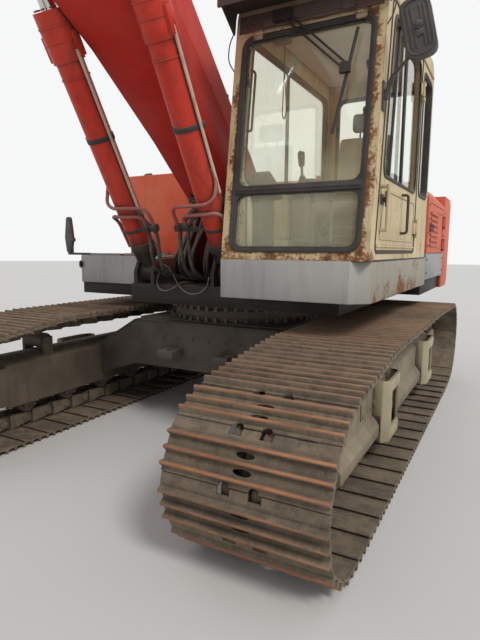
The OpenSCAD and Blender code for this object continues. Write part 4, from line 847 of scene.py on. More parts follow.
# %% The belt round the wheels
GAUGE, SHOE_W = 2600, 800
LINK_OUT, LINK_IN, PLATE_T, BAR_H = 65, 52, 14, 30
STACK = LINK_OUT + PLATE_T + BAR_H
PITCH_WANTED = 216
LOOP_TOP, BOTTOM_R, CARRIER_R = 950, 95, 70
IDLER, SPROCKET = (-2120, 430), (1900, 470)
CARRIER_Z = LOOP_TOP - STACK - LINK_IN - CARRIER_R
# Wheels as (y, z, radius of the pin line), taken as the chain meets them
WHEELS = [(*IDLER, 430 - STACK), (1450, STACK + LINK_IN + BOTTOM_R, BOTTOM_R + LINK_IN), (*SPROCKET, 440 - STACK),
          (700, CARRIER_Z, CARRIER_R + LINK_IN), (-1350, CARRIER_Z, CARRIER_R + LINK_IN)]


def run_angle(i):
    """Direction of the straight run that leaves wheel i."""
    (y0, z0, r0), (y1, z1, r1) = WHEELS[i % 5], WHEELS[(i + 1) % 5]
    angle = math.atan2(z1 - z0, y1 - y0) + math.asin((r0 - r1) / math.hypot(y1 - y0, z1 - z0))
    return angle % math.tau if angle < -0.02 else angle


belt = []
for i, (y, z, r) in enumerate(WHEELS):
    first, last = run_angle(i - 1), run_angle(i)
    if last < first:
        last += math.tau
    steps = max(2, int((last - first) / 0.02))
    for k in range(steps + 1):
        angle = first + (last - first) * k / steps
        belt.append((y + r * math.sin(angle), z - r * math.cos(angle)))
belt.append(belt[0])
lengths = [0.0]
for (y0, z0), (y1, z1) in zip(belt, belt[1:]):
    lengths.append(lengths[-1] + math.hypot(y1 - y0, z1 - z0))
shoe_n = round(lengths[-1] / PITCH_WANTED)
pitch = lengths[-1] / shoe_n
pins = []
for s in (pitch * i for i in range(shoe_n)):
    k = next(i for i in range(1, len(lengths)) if lengths[i] >= s)
    t = (s - lengths[k - 1]) / (lengths[k] - lengths[k - 1])
    pins.append([a + (b - a) * t for a, b in zip(belt[k - 1], belt[k])])
print(shoe_n, "shoes at a pitch of", round(pitch, 1), "mm")

# %% [markdown]
# One shoe is a bent plate with three bars. Its section is drawn once and extruded to the shoe's width. Two oval holes
# let the mud out, and two arches at one edge leave room for the ends of the links. The other edge is a lip that is bent
# down under the next shoe, so that no wide gap opens where the chain turns. The holes are cut with boolean modifiers
# before the edges are rounded.

# %% One shoe
BAR_PLACES = (-72, 0, 72)
BAR_FOOT, BAR_TIP = 32, 17
HOLE_W, HOLE_L = 92, 30
ARCH_W, ARCH_L = 52, 24
NOTCH = (62, 42, 34)
half, bar_top = pitch / 2, PLATE_T + BAR_H

# The side outline, as (along the track, outwards from the plate's inner face)
section = [(-half - 34, -17), (-half - 38, -8), (-half - 16, 3), (-half + 4, PLATE_T)]
for u in BAR_PLACES:
    section += [(u - BAR_FOOT / 2, PLATE_T), (u - BAR_TIP / 2, bar_top - 5), (u - BAR_TIP / 2 + 4, bar_top),
                (u + BAR_TIP / 2 - 4, bar_top), (u + BAR_TIP / 2, bar_top - 5), (u + BAR_FOOT / 2, PLATE_T)]
section += [(half - 2, PLATE_T), (half - 1, 4), (-half + 8, 0), (-half - 14, -8)]
shoe = extruded(section, -SHOE_W / 2, SHOE_W)


def cut_from(obj, add, at, spans, **settings):
    """Takes a primitive's shape out of obj, at a place and with its spans in millimetres."""
    cutter = added(add, location=[c / 1000 for c in at], scale=[c / 1000 for c in spans], **settings)
    only(obj)
    cut = obj.modifiers.new("cut", "BOOLEAN")
    cut.operation, cut.object, cut.solver = "DIFFERENCE", cutter, "EXACT"
    bpy.ops.object.modifier_apply(modifier=cut.name)
    bpy.data.objects.remove(cutter)


ROUND, SQUARE = bpy.ops.mesh.primitive_cylinder_add, bpy.ops.mesh.primitive_cube_add
for u in (-36, 36):
    cut_from(shoe, ROUND, (0, u, 7), (HOLE_W, HOLE_L, 1000), vertices=14, radius=0.5, depth=0.08)
for x in (-70, 70):
    cut_from(shoe, ROUND, (x, half, 7), (ARCH_W, 2 * ARCH_L, 1000), vertices=12, radius=0.5, depth=0.08)
for x in (-75, 75):
    cut_from(shoe, SQUARE, (x, -half - 24, -8), NOTCH, size=1)
soften(shoe, 2.5, 1, 50)
print("one shoe has", len(shoe.data.polygons), "faces")

# %% One link
EYE_R, LINK_X, LINK_T, OVERLAP = 44, 52, 23, 30
link_parts = []
# The inner half has its round eye at the pin behind, the outer half at the pin ahead
for step, way in enumerate((-1, 1)):
    angles = (-way * math.pi / 2 + math.pi * k / 8 for k in range(9))
    view = [(way * half + EYE_R * math.cos(a), EYE_R * math.sin(a)) for a in angles]
    view += [(-way * OVERLAP, n) for n in (-LINK_IN, LINK_OUT)[::-way]]
    link_parts.append(extruded(view, LINK_X + LINK_T * step, LINK_T))
link_parts.append(added(bpy.ops.mesh.primitive_cylinder_add, vertices=12, radius=0.021, depth=0.065,
                        location=(0.0745, -pitch / 2000, 0), rotation=(0, math.pi / 2, 0)))
link = merged("link", link_parts)
twin = copied(link)
twin.data.transform(Matrix.Diagonal((-1, 1, 1, 1)))
twin.data.flip_normals()
link = merged("link", [link, twin])
print("one pair of links has", len(link.data.polygons), "faces")


# %% Lay them along the loop
RUB_DEPTH = 12      # the bars are bare from here under their tips
NEVER = 1000        # higher than any vertex, for a piece that's nowhere rubbed


def laid_along(name, model, lift, side, seed, rub_from):
    """Copies of the model at every step of the loop, on one side of the machine, as one mesh."""
    shuffle = random.Random(seed)
    points, faces, rub, shade = [], [], [], []
    for i in range(shoe_n):
        (y0, z0), (y1, z1) = pins[i], pins[(i + 1) % shoe_n]
        along = Vector((0, y1 - y0, z1 - z0)).normalized()
        outwards = Vector((0, along.z, -along.y))
        middle = place(side * GAUGE / 2, (y0 + y1) / 2, (z0 + z1) / 2)
        start, tone = len(points), shuffle.random()
        tilt = shuffle.uniform(-0.0012, 0.0012)
        for v in model.data.vertices:
            height = v.co.z + lift / 1000
            points.append(middle + Vector((v.co.x, 0, 0)) + along * v.co.y + outwards * (height + tilt * (v.co.y > 0)))
            rub.append(max(0.0, min(1.0, (v.co.z * 1000 - rub_from) / RUB_DEPTH)))
            shade.append(tone)
        # Across, along and outwards are a left-handed set, so each face is turned round to look outwards again
        faces += [[start + k for k in reversed(face.vertices)] for face in model.data.polygons]
    mesh = bpy.data.meshes.new(name)
    mesh.from_pydata([tuple(p) for p in points], [], faces)
    for label, values in (("rub", rub), ("shade", shade)):
        mesh.attributes.new(label, "FLOAT", "POINT").data.foreach_set("value", values)
    return linked(name, mesh)


SIDES = (("left", 1), ("right", -1))
for word, side in SIDES:
    for name, model, lift, seed, rub_from in ((f"track_shoes_{word}", shoe, LINK_OUT, side + 5, bar_top - 14),
                                              (f"track_links_{word}", link, 0, side + 9, NEVER)):
        laid = laid_along(name, model, lift, side, seed, rub_from)
        settle(name, laid, track_steel, "undercarriage", replaces=(f"track_{word}",))
for model in (shoe, link):
    bpy.data.objects.remove(model)
print("tracks laid")

# %% [markdown]
# ## Hydraulic lines
#
# Each boom cylinder is fed by two steel tubes. They run down its barrel, cross in front of it, and end in fittings
# beside it, from where rubber hoses go down to the deck. More hoses hang in loops from the tubes under the boom. A
# hose that crosses a joint is one mesh, taken off its body and left where it lies.

# %% Hoses and their fittings
STEP = 0.016        # metres between the rings of a hose
FERRULE_LONG = 70   # millimetres


def smooth_line(points):
    """A smooth line in metres through places in millimetres, sampled evenly."""
    path = [place(*p) for p in points]
    ends = [path[0] * 2 - path[1]] + path + [path[-1] * 2 - path[-2]]
    fine = []
    for a, b, c, d in zip(ends, ends[1:], ends[2:], ends[3:]):
        for t in (i / 24 for i in range(24)):
            fine.append(0.5 * ((2 * b) + (c - a) * t + (2 * a - 5 * b + 4 * c - d) * t ** 2
                               + (3 * b - a - 3 * c + d) * t ** 3))
    fine.append(path[-1])
    line, run = [fine[0]], 0.0
    for p, q in zip(fine, fine[1:]):
        run += (q - p).length
        if run >= STEP:
            line.append(q)
            run = 0.0
    if (line[-1] - fine[-1]).length < STEP / 2:
        line.pop()
    return line + [fine[-1]]


def ferrule(at, towards, r):
    """The crimped end of a hose: a hexagon and a sleeve, from a place in metres, pointing along the hose."""
    parts = []
    way = (towards - at).normalized() * FERRULE_LONG / 1000
    for start, end, size, sides in ((0, 0.38, 1.55, 6), (0.38, 1, 1.35, 14)):
        spots = [(p.x * 1000, (p.y - slew_y) * 1000, p.z * 1000) for p in (at + way * start, at + way * end)]
        parts.append(shaft(*spots, r * size, 1.5, sides))
    return parts


hose_lengths, fittings = {}, {}


def hose(name, points, r, body, to_body=None, stiffness="medium", fitted=True, finish=hose_rubber):
    """A hose through places in millimetres. It rides on one body, or, if it runs to a second body, is taken off the
    first and left where it lies.
    """
    line = smooth_line(points)
    obj = settle(name, tube_along(line, r, 12), finish, body, smooth=60)
    length = sum((b - a).length for a, b in zip(line, line[1:]))
    hose_lengths[name] = round(length, 3)
    if to_body:
        obj.parent = None
        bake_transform(obj)
    if fitted:
        fittings.setdefault(body, []).extend(ferrule(line[0], line[3], r))
        fittings.setdefault(to_body or body, []).extend(ferrule(line[-1], line[-4], r))


# %% [markdown]
# A cylinder's own parts are placed along its barrel: how far up from the base pin, how far aside, and how far out
# towards the front. That way the same lines of code dress both cylinders, one as the mirror of the other.

# %% Boom cylinders
CYL_X, CYL_BASE, CYL_LEAN = 370, (-930, 1312.3), math.radians(30.75)
BARREL_R, GLAND_R, GLAND_BOLTS, BARREL_END = 92, 108, 86, 1893
ENDS_ASIDE = (262, 192)     # where the two steel tubes of a cylinder end


def by_barrel(side, aside, up, out):
    """A place beside a boom cylinder: aside towards the machine's middle, up the barrel, out to the front."""
    y = CYL_BASE[0] - math.sin(CYL_LEAN) * up - math.cos(CYL_LEAN) * out
    z = CYL_BASE[1] + math.cos(CYL_LEAN) * up - math.sin(CYL_LEAN) * out
    return side * (CYL_X - aside), y, z


def barrel_ring(side, low, high, r, bevel=3):
    """A sleeve round the barrel."""
    return shaft(by_barrel(side, 0, low, 0), by_barrel(side, 0, high, 0), r, bevel, sides=40)


def barrel_block(side, aside, up, out, size, bevel=3):
    """A small block beside the barrel, turned along it."""
    return moved_cube(Matrix.Translation(place(*by_barrel(side, aside, up, out))) @ Matrix.Rotation(CYL_LEAN, 4, "X")
                      @ Matrix.Diagonal((*(Vector(size) / 1000), 1)), bevel)


for word, side in SIDES:
    body = f"boom_barrel_{word}"
    collars = [barrel_ring(side, 1600, 1722, GLAND_R - 3), barrel_ring(side, 1800, 1812, GLAND_R + 5, 2),
               barrel_ring(side, 1500, 1512, BARREL_R + 5, 2), barrel_ring(side, 215, 232, BARREL_R + 9, 3),
               barrel_block(side, -100, 1690, 20, (34, 60, 150)), barrel_block(side, 100, 1690, -20, (34, 60, 150))]
    for angle in (math.tau * k / 10 for k in range(10)):
        low, high = (by_barrel(side, GLAND_BOLTS * math.cos(angle), BARREL_END + up, GLAND_BOLTS * math.sin(angle))
                     for up in (6, 16))
        collars.append(shaft(low, high, 11, 2, 6))
    settle(f"barrel_collars_{word}", collars, cylinder_paint, body)

    bands = [barrel_ring(side, 1090, 1122, BARREL_R + 6, 2), barrel_ring(side, 392, 416, BARREL_R + 5, 2),
             barrel_ring(side, 236, 284, BARREL_R + 6, 4)]
    for up in (1106, 404):
        for aside in (-108, 103):
            bands.append(barrel_block(side, aside, up, 0, (32, 34, 40), 4))
            bands.append(shaft(by_barrel(side, aside, up - 34, 0), by_barrel(side, aside, up + 34, 0), 8, 1, 6))
    bands.append(barrel_block(side, 195, 432, 92, (190, 16, 34), 3))
    for aside in ENDS_ASIDE:
        bands.append(barrel_block(side, aside, 446, 92, (52, 52, 46), 5))
    settle(f"barrel_bands_{word}", bands, dark_paint, body)

    def tube(r, rounding, *spots):
        """A tube through places beside this barrel, each as aside, up and out."""
        return pipe([by_barrel(side, *spot) for spot in spots], r, 12, rounding)

    edge, is_left = -108 * side, side > 0
    settle(f"barrel_long_tube_{word}", tube(11, 0, (edge, 1660, 16), (edge, 560 + 100 * is_left, 16)), long_tube_highlight_paint,
           body, smooth=60)
    tubes = [tube(13, 90, (-100, 830, -50 + 66 * is_left), (-106, 740, 16), (-104, 652, 88), (-40, 622, 118),
                  (120, 618, 118), (262, 610, 104), (262, 452, 92)),
             tube(13, 80, (-104, 252, 34), (-108, 480, 40), (-96, 552, 100), (40, 548, 116), (192, 542, 106),
                  (192, 452, 92)),
             tube(11, 60, (-edge, 1640, -14), (-edge, 860, -14))]
    settle(f"barrel_tubes_{word}", tubes, tube_paint, body, smooth=60)
    print("dressed", body)

# %% Hoses from the cylinders to the deck
for word, side in SIDES:
    body = f"boom_barrel_{word}"
    for k, aside in enumerate(ENDS_ASIDE):
        route = [by_barrel(side, *spot) for spot in ((112, 560 - 40 * k, 30), ((112 + aside) / 2, 500 - 20 * k, 84),
                                                     (aside, 400, 96))]
        x, y = route[-1][:2]
        route += [(x - side * inwards, *spot) for inwards, *spot in (
            (6, y + 30, 1430), (10, -1120, 1330), (30, -930, 1262), (45, -760, 1242), (50, -600, 1236))]
        hose(f"barrel_hose_{word}_{k + 1}", route, (15, 13)[k], body, "house")

# %% [markdown]
# Under the foot of the boom the steel tubes end in a row, and one hose hangs from each of them down to the deck. The
# loops are of unequal length, as they are on an old machine whose hoses were replaced one by one.

# %% Hoses between the deck and the boom
# For each hose: its place across, the height of its loop, how far the loop bulges forwards, and how far it sways
BOOM_LINES = ((-190, 1224, 10, -20), (-138, 1236, 60, 10), (-86, 1206, 30, 20), (-30, 1230, 80, -10),
              (28, 1212, 20, 20), (84, 1234, 50, 5), (140, 1208, 40, 15), (196, 1228, 70, -10))
LOOP_R = 165
foot_tubes = []
for k, (x, low, bulge, away) in enumerate(BOOM_LINES):
    foot_tubes.append(pipe([(x, -1010, 2290), (x, -745, 2068), (x, -640, 1970), (x, -592, 1868)], 12, 12, 60))
    front = -775 - bulge
    route = [(x, -586, 1878), (x, -606, 1776), (x + away * 0.5, -672 - bulge * 0.6, 1620), (x + away, front + 24, 1480)]
    for turn in (5, 35, 65, 95):
        angle = math.radians(turn)
        route.append((x + away * (1 - turn / 150), front + LOOP_R * (1 - math.cos(angle)),
                      low + LOOP_R * (1 - math.sin(angle))))
    hose(f"boom_hose_{k + 1}", route + [(x * 0.87, -470, 1234)], (15.5, 14.5)[k % 2], "boom", "house")
foot_tubes += [block((-215, 240), (-640, -618), (1880, 1925), 4), block((-215, 240), (-640, -560), (1900, 1912), 2)]
settle("boom_foot_tubes", foot_tubes, dark_paint, "boom", smooth=50)

WIRE = {"r": 4, "body": "house", "fitted": False}
LIMP = {**WIRE, "stiffness": "limp"}
hose("wire_left", [(-243, -960, 1370), (-160, -1010, 1352), (-70, -1058, 1290), (10, -1090, 1205), (100, -1102, 1162),
                   (190, -1096, 1170), (245, -1078, 1222), (258, -1068, 1290)], **LIMP, finish=wire_sheath)
hose("wire_right", [(-243, -985, 1330), (-236, -1050, 1258), (-190, -1090, 1190), (-120, -1096, 1172),
                    (-50, -1080, 1200), (-12, -1030, 1236), (10, -960, 1236)], **LIMP, finish=wire_sheath)

# %% [markdown]
# ## Tubes along the boom
#
# The stick and bucket cylinders are fed by steel tubes clamped along the back of the boom. They follow its bends, so
# their route is taken from the same sections that the boom is drawn from.

# %% Boom tubes and their clamps
SECTIONS = [(-100, 1720, 300), (-500, 2095, 400), (-900, 2465, 450), (-1500, 2975, 560), (-2100, 3405, 690),
            (-2700, 3705, 760), (-3400, 3825, 650), (-4300, 3850, 560), (-5100, 3815, 470), (-5480, 3790, 430)]


def boom_back(i, off):
    """A point over the back of the boom at section i, as (y, z), off above its plate."""
    a, b = SECTIONS[max(i - 1, 0)], SECTIONS[min(i + 1, len(SECTIONS) - 1)]
    run = Vector((b[0] - a[0], b[1] - a[1])).normalized()
    height = SECTIONS[i][2] / 2 + off
    return SECTIONS[i][0] + run.y * height, SECTIONS[i][1] - run.x * height


long_tubes, clamps = [], []
for side in (1, -1):
    for x, last in ((205, 8), (165, 8), (130, 5)):
        long_tubes.append(pipe([(side * x, *boom_back(i, 24)) for i in range(1, last + 1)], 11, 10, 120))
    for i in range(2, 9):
        y, z = boom_back(i, 20)
        clamps.append(block((side * 160 - 62, side * 160 + 62), (y - 22, y + 22), (z - 30, z + 26), 5))
settle("boom_tubes", long_tubes, tube_paint, "boom", smooth=60)
settle("boom_clamps", clamps, dark_paint, "boom")

# Hoses at the stick cylinder, and from the end of the boom over to the stick
for word, side in SIDES:
    y, z = boom_back(5, 24)
    route = (130, y, z), (134, y - 120, z + 30), (138, -3060, 4225), (124, -3290, 4290), (104, -3410, 4336)
    hose(f"stick_hose_{word}", [(side * x, y, z) for x, y, z in route], 13, "boom", "stick_barrel")
    for k, out in enumerate((205, 165)):
        y, z = boom_back(8, 24)
        route = ((0, y, z), (0, y - 150, z + 40), (10, -5500, 4210 + 40 * k), (40, -5800, 4300 + 30 * k),
                 (60, -6010, 4240 + 20 * k), (62, -6110, 4100))
        hose(f"bucket_hose_{word}_{k + 1}", [(side * (out - x), y, z) for x, y, z in route], 13, "boom", "stick")
for body, parts in fittings.items():
    settle(f"hose_ends_{body}", parts, bolt_steel, body, smooth=40)
print("hoses and their lengths in metres:", hose_lengths)

# %% [markdown]
# ## The cab's front
#
# The windscreen stands in a wide black rubber frame, and a dark header with the wiper's motor runs over it. On the
# real cab the frame is one moulding. Here it is a ring between two outlines with turned corners, laid on the raked
# face, so the same helper makes the frame of every window.

# %% Rings round windows
RAKE_SLOPE = math.tan(RAKE)
CAB_X0, CAB_X1, FLOOR_Z = cab_x0 * 1000, cab_x1 * 1000, floor_z * 1000
ROOF_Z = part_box("cab_shell")[1].z * 1000
CAB_REAR = (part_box("cab_shell")[1].y - slew_y) * 1000
POST, SCREEN_LOW, SCREEN_TOP = 62, 58, ROOF_Z - FLOOR_Z - 236
SILL_Z, PANE_TOP = FLOOR_Z + 520, ROOF_Z - 190


def front_y(z):
    """Where the raked front stands at this height."""
    return FRONT_Y + (z - FLOOR_Z) * RAKE_SLOPE


def on_front(x, t, off):
    """A place on the cab's raked front: across, up the slope, and off the face."""
    return (x, FRONT_Y + t * math.sin(RAKE) - off * math.cos(RAKE),
            FLOOR_Z + t * math.cos(RAKE) + off * math.sin(RAKE))


def on_side(y, z, off):
    """A place on the door's side of the cab."""
    return CAB_X1 + off, y, z


def on_right(y, z, off):
    """The same on the other side, by the boom."""
    return CAB_X0 - off, y, z


def on_rear(x, z, off):
    """The same on the cab's rear."""
    return x, CAB_REAR + off, z


def turned(points, r):
    """An outline with its corners turned round over the length r of both their sides."""
    made = []
    for before, p, after in zip(points[-1:] + points, points, points[1:] + points[:1]):
        p = Vector(p)
        back, ahead = ((Vector(other) - p).normalized() for other in (before, after))
        made += [p + back * r * (1 - k / 6) ** 2 + ahead * r * (k / 6) ** 2 for k in range(7)]
    return made


def ring(at, outer, inner, low, high, bevel=2.0):
    """A frame between two outlines with as many points each, from low to high off the face."""
    mesh, count = bmesh.new(), len(outer)
    rows = [[mesh.verts.new(place(*at(p[0], p[1], off))) for p in line]
            for line, off in ((outer, low), (outer, high), (inner, high), (inner, low))]
    for a, b in zip(rows, rows[1:] + rows[:1]):
        for i in range(count):
            mesh.faces.new((a[i], a[(i + 1) % count], b[(i + 1) % count], b[i]))
    return finished(mesh, bevel, 2, 40)


def sheet_of(at, outer, low, high, bevel=2.0):
    """A flat plate with this outline, from low to high off the face."""
    return prism(at, outer, (low, high), bevel, 2, 40)


def rect(x0, x1, z0, z1):
    """A rectangle as an outline."""
    return [(x0, z0), (x1, z0), (x1, z1), (x0, z1)]


def about(x, z, half_w, half_h):
    """A rectangle about its middle."""
    return rect(x - half_w, x + half_w, z - half_h, z + half_h)


def inset(points, d):
    """The outline moved inwards by d, for a shape whose sides are nearly upright and level."""
    (y0, z0), (y1, _), (y2, z2), (y3, _) = points
    return [(y0 + d, z0 + d), (y1 - d, z0 + d), (y2 - d, z2 - d), (y3 + d, z2 - d)]


def window_frame(at, pane, r, low=-2):
    """The rubber frame round a pane, its outer corners turned over r."""
    return ring(at, turned(inset(pane, -7), r), turned(inset(pane, 14), r - 16), low, 7, 3)


def between(x_in, a0, a1):
    """A rectangle so far in from both sides of the cab."""
    return rect(CAB_X0 + x_in, CAB_X1 - x_in, a0, a1)


# %% Windscreen frame, crossbar and header
X0, X1 = CAB_X0 + POST, CAB_X1 - POST
screen = rect(X0, X1, SCREEN_LOW, SCREEN_TOP)
screen_parts = [ring(on_front, turned(inset(screen, -9), 96), turned(inset(screen, 16), 76), -1, 7, 3),
                ring(on_front, turned(inset(screen, 12), 80), turned(inset(screen, 29), 64), -20, 3, 3),
                sheet_of(on_front, rect(X0 + 12, X1 - 12, 428, 480), -14, 9, 3),
                sheet_of(on_front, rect(X0 + 20, X1 - 20, 446, 462), 4, 13, 2)]
settle("screen_frame", screen_parts, rubber, "house")

# A film of dust on the outside of both panes, thicker on the lower one
films = [sheet_of(on_front, turned(rect(X0 + 29, X1 - 29, low, high), 44), -21.4, -20.6, 0)
         for low, high in ((SCREEN_LOW + 29, 427), (481, SCREEN_TOP - 29))]
settle("screen_dust", films, pane_dust, "house")

HEAD_LOW, HEAD_TOP = SCREEN_TOP + 34, ROOF_Z - FLOOR_Z - 92
header_parts = [sheet_of(on_front, between(26, HEAD_LOW, HEAD_TOP), -2, 9, 2),
                sheet_of(on_front, between(60, HEAD_LOW + 22, HEAD_LOW + 34), 7, 18, 2)]
for x in (CAB_X0 + 250, CAB_X1 - 230):
    header_parts.append(sheet_of(on_front, turned(rect(x - 40, x + 40, HEAD_LOW + 6, HEAD_LOW + 60), 12), 6, 24, 3))
for x in range(int(CAB_X0) + 90, int(CAB_X1) - 60, 118):
    header_parts.append(shaft(on_front(x, HEAD_TOP - 18, 8), on_front(x, HEAD_TOP - 18, 15), 8, 1, 6))
settle("cab_header", header_parts, header_paint, "house")

HINGE_T = SCREEN_TOP + 8
hinge_parts = []
for x in (CAB_X0 + 170, CAB_X1 - 150):
    hinge_parts.append(sheet_of(on_front, turned(about(x, SCREEN_TOP, 34, 30), 14), 6, 16, 3))
    hinge_parts.append(shaft(on_front(x - 40, HINGE_T, 18), on_front(x + 40, HINGE_T, 18), 9, 2, 14))
hinge_parts.append(shaft(on_front(CAB_X0 + 200, HINGE_T, 15), on_front(CAB_X1 - 190, HINGE_T, 15), 7, 1, 12))
settle("screen_hinges", hinge_parts, rusty_cream, "house")

# Small catches inside the corners of both panes, and the rod of the opening screen
catches = []
for x, t in ((X0 + 46, 500), (X1 - 46, 500), (X0 + 40, 1180), (X1 - 40, 1180), (X1 - 40, 900)):
    catches.append(sheet_of(on_front, turned(about(x, t, 11, 26), 6), -58, -36, 3))
    catches.append(shaft(on_front(x, t, -36), on_front(x, t, -14), 7, 1, 12))
rod = [on_front(X0 + x, t, off) for x, t, off in ((34, 1280, -62), (52, 1275, -96), (52, 880, -96), (34, 875, -62))]
settle("screen_catches", catches + [pipe(rod, 9, 10, 30)], plastic, "house")

# %% Rubber under the cab, gutter and roof
trim = [block((CAB_X0 + 4, CAB_X1 - 2), (-1302, -1292), (FLOOR_Z - 5, FLOOR_Z + 7), 2),
        block((CAB_X1 - 9, CAB_X1 + 2), (-1200, CAB_REAR), (FLOOR_Z - 5, FLOOR_Z + 7), 2)]
settle("cab_foot_rubber", trim, rubber, "house")

roof = [plan(turned(between(190, -560, 160), 60), ROOF_Z - 4, ROOF_Z + 22, 6),
        plan(turned(between(240, -510, 110), 50), ROOF_Z + 18, ROOF_Z + 30, 4)]
for y in (-860, 330, 520):
    roof.append(block((CAB_X0 + 90, CAB_X1 - 90), (y - 22, y + 22), (ROOF_Z - 3, ROOF_Z + 8), 5))
for x in (CAB_X0 - 4, CAB_X1 + 4):
    roof.append(pipe([(x, front_y(ROOF_Z - 110) + 60, ROOF_Z - 122), (x, CAB_REAR - 60, ROOF_Z - 122)], 9, 8))
settle("cab_roof", roof, cream_paint, "house")

# %% [markdown]
# ## The door and the side windows
#
# The door's window is two sliding panes in dark rails. Their frames, the handles and the pressed panel under the
# window are small, but they are what tells a cab from a box.

# %% Door trim
DOOR_TOP, DOOR_FRONT, DOOR_REAR, RAIL = ROOF_Z - 130, 120, 140, 60


def raked(z0, z1, margin, y1):
    """An outline on the cab's side between two heights, its front edge so far behind the cab's raked front."""
    return [(front_y(z0) + margin, z0), (y1, z0), (y1, z1), (front_y(z1) + margin, z1)]


low_y, high_y = (front_y(z) + DOOR_FRONT + RAIL for z in (SILL_Z, DOOR_TOP))
rear_y, top_z = DOOR_REAR - RAIL, DOOR_TOP - RAIL
door_pane = [(low_y, SILL_Z), (rear_y, SILL_Z), (rear_y, top_z), (high_y, top_z)]
middle_y = (low_y + rear_y) / 2
pane_edge = [(low_y + 210, SILL_Z + 8), (low_y + 236, SILL_Z + 8), (high_y + 236, top_z - 8), (high_y + 210, top_z - 8)]
door_black = [window_frame(on_side, door_pane, 92, -3),
              sheet_of(on_side, rect(middle_y - 20, middle_y + 20, SILL_Z + 8, top_z - 8), -14, 5, 3),
              sheet_of(on_side, pane_edge, -22, -6, 3)]
settle("door_frame_rubber", door_black, rubber, "cab_door")

door_outer = raked(FLOOR_Z + 60, DOOR_TOP, DOOR_FRONT, DOOR_REAR)
gap = ring(on_side, turned(inset(door_outer, -16), 66), turned(inset(door_outer, 1), 56), -6, 5, 3)
settle("door_gap_rubber", gap, rubber, "house")

panel = [(front_y(FLOOR_Z + 130) + 190, FLOOR_Z + 130), (DOOR_REAR - 70, FLOOR_Z + 130), (DOOR_REAR - 70, SILL_Z - 70),
         (front_y(SILL_Z - 70) + 270, SILL_Z - 70)]
fold = rect(front_y(FLOOR_Z + 90) + 140, DOOR_REAR - 14, FLOOR_Z + 84, FLOOR_Z + 98)
pressing = [ring(on_side, turned(panel, 40), turned(inset(panel, 14), 34), -2, 5, 3),
            sheet_of(on_side, fold, -2, 7, 3)]
settle("door_pressing", pressing, cream_paint, "cab_door")

lock_y, lock_z, grip_y = front_y(SILL_Z - 140) + 182, SILL_Z - 142, middle_y + 60
grip = [on_side(grip_y, SILL_Z - down, off) for down, off in ((60, 0), (60, 46), (330, 46), (330, 0))]
lock = [sheet_of(on_side, turned(rect(lock_y - 26, lock_y + 70, lock_z - 30, lock_z + 30), 14), -1, 7, 3),
        shaft(on_side(lock_y + 44, lock_z, 6), on_side(lock_y + 44, lock_z, 24), 17, 3, 20),
        shaft(on_side(lock_y, lock_z, 6), on_side(lock_y, lock_z, 34), 9, 2, 14),
        pipe([on_side(lock_y, SILL_Z - 190, 34), on_side(lock_y, SILL_Z - 98, 34)], 9, 10), pipe(grip, 10, 10, 36)]
settle("door_handles", lock, dark_paint, "cab_door")

# %% Frames of the other windows
quarter = rect(DOOR_REAR + 90, CAB_REAR - 90, SILL_Z, PANE_TOP)
side_black = [window_frame(on_side, quarter, 94),
              window_frame(on_right, raked(SILL_Z, PANE_TOP, 150, CAB_REAR - 90), 94),
              sheet_of(on_right, rect(-260, -222, SILL_Z + 10, ROOF_Z - 200), -16, 4, 3),
              window_frame(on_rear, rect(CAB_X0 + 120, CAB_X1 - 120, SILL_Z + 60, PANE_TOP), 94)]
settle("side_frame_rubber", side_black, rubber, "house")

# %% [markdown]
# The mirror is a moulded shell with a rim, two ribs and a ball joint on its back, and the glass on its other side.
# Its helper turns a place on the leaning shell into one on the machine.

# %% Mirrors
MIRROR_LEAN = math.radians(13)
MIRROR_AT = (CAB_X1 + 188, front_y(ROOF_Z - 720) - 10, ROOF_Z - 420)


def on_mirror(a, b, off, way=-1):
    """A place on the shell: across, up along its lean, and off its back, or off its face if way is 1."""
    return (MIRROR_AT[0] + a * math.cos(MIRROR_LEAN) - b * math.sin(MIRROR_LEAN), MIRROR_AT[1] + way * (29 + off),
            MIRROR_AT[2] + a * math.sin(MIRROR_LEAN) + b * math.cos(MIRROR_LEAN))


softened("mirror_left", 9, "house", "trim_plastic", segments=3)
softened("mirror_right", 3, "house", "trim_plastic")
shell_parts = [ring(on_mirror, turned(about(0, 0, 73, 150), 62), turned(about(0, 0, 63, 140), 54), -2, 5, 2),
               shaft(on_mirror(4, 8, -2), on_mirror(4, 8, 16), 24, 5, 28),
               shaft(on_mirror(4, 8, 14), on_mirror(4, 8, 24), 14, 4, 20),
               sheet_of(on_mirror, turned(rect(-16, 24, -52, -12), 10), -1, 9, 3)]
for a in (-42, -20, 26, 46):
    shell_parts.append(sheet_of(on_mirror, turned(about(a, 0, 5, 112), 4), -2, 6, 2))
settle("mirror_ribs", shell_parts, plastic, "house")
on_glass = lambda a, b, off: on_mirror(a, b, off, 1)
settle("mirror_glass", sheet_of(on_glass, turned(about(0, 0, 70, 147), 58), -2, 2, 1), chrome, "house")

# Thin leads that hang in a loop at both top corners of the cab, from the front edge at the windows' top
for name, corner, route in (
        ("lead_right", CAB_X0, ((-12, -8, 0), (-58, 6, -70), (-66, 10, -170), (-12, 4, -262))),
        ("lead_left", CAB_X1, ((12, -14, 60), (44, -20, -10), (34, -14, -90), (2, -22, -150)))):
    hose(name, [(corner + x, front_y(PANE_TOP) + y, PANE_TOP + z) for x, y, z in route], **WIRE)
print("cab front, door and windows trimmed")

# %% [markdown]
# ## Inside the cab
#
# Through the windscreen one sees a worn seat, two consoles with levers, and a pale lining. The seat's cushions are
# soft pieces of their own, drawn as side views and well rounded, so that they take the place of the CAD model's
# plain seat.

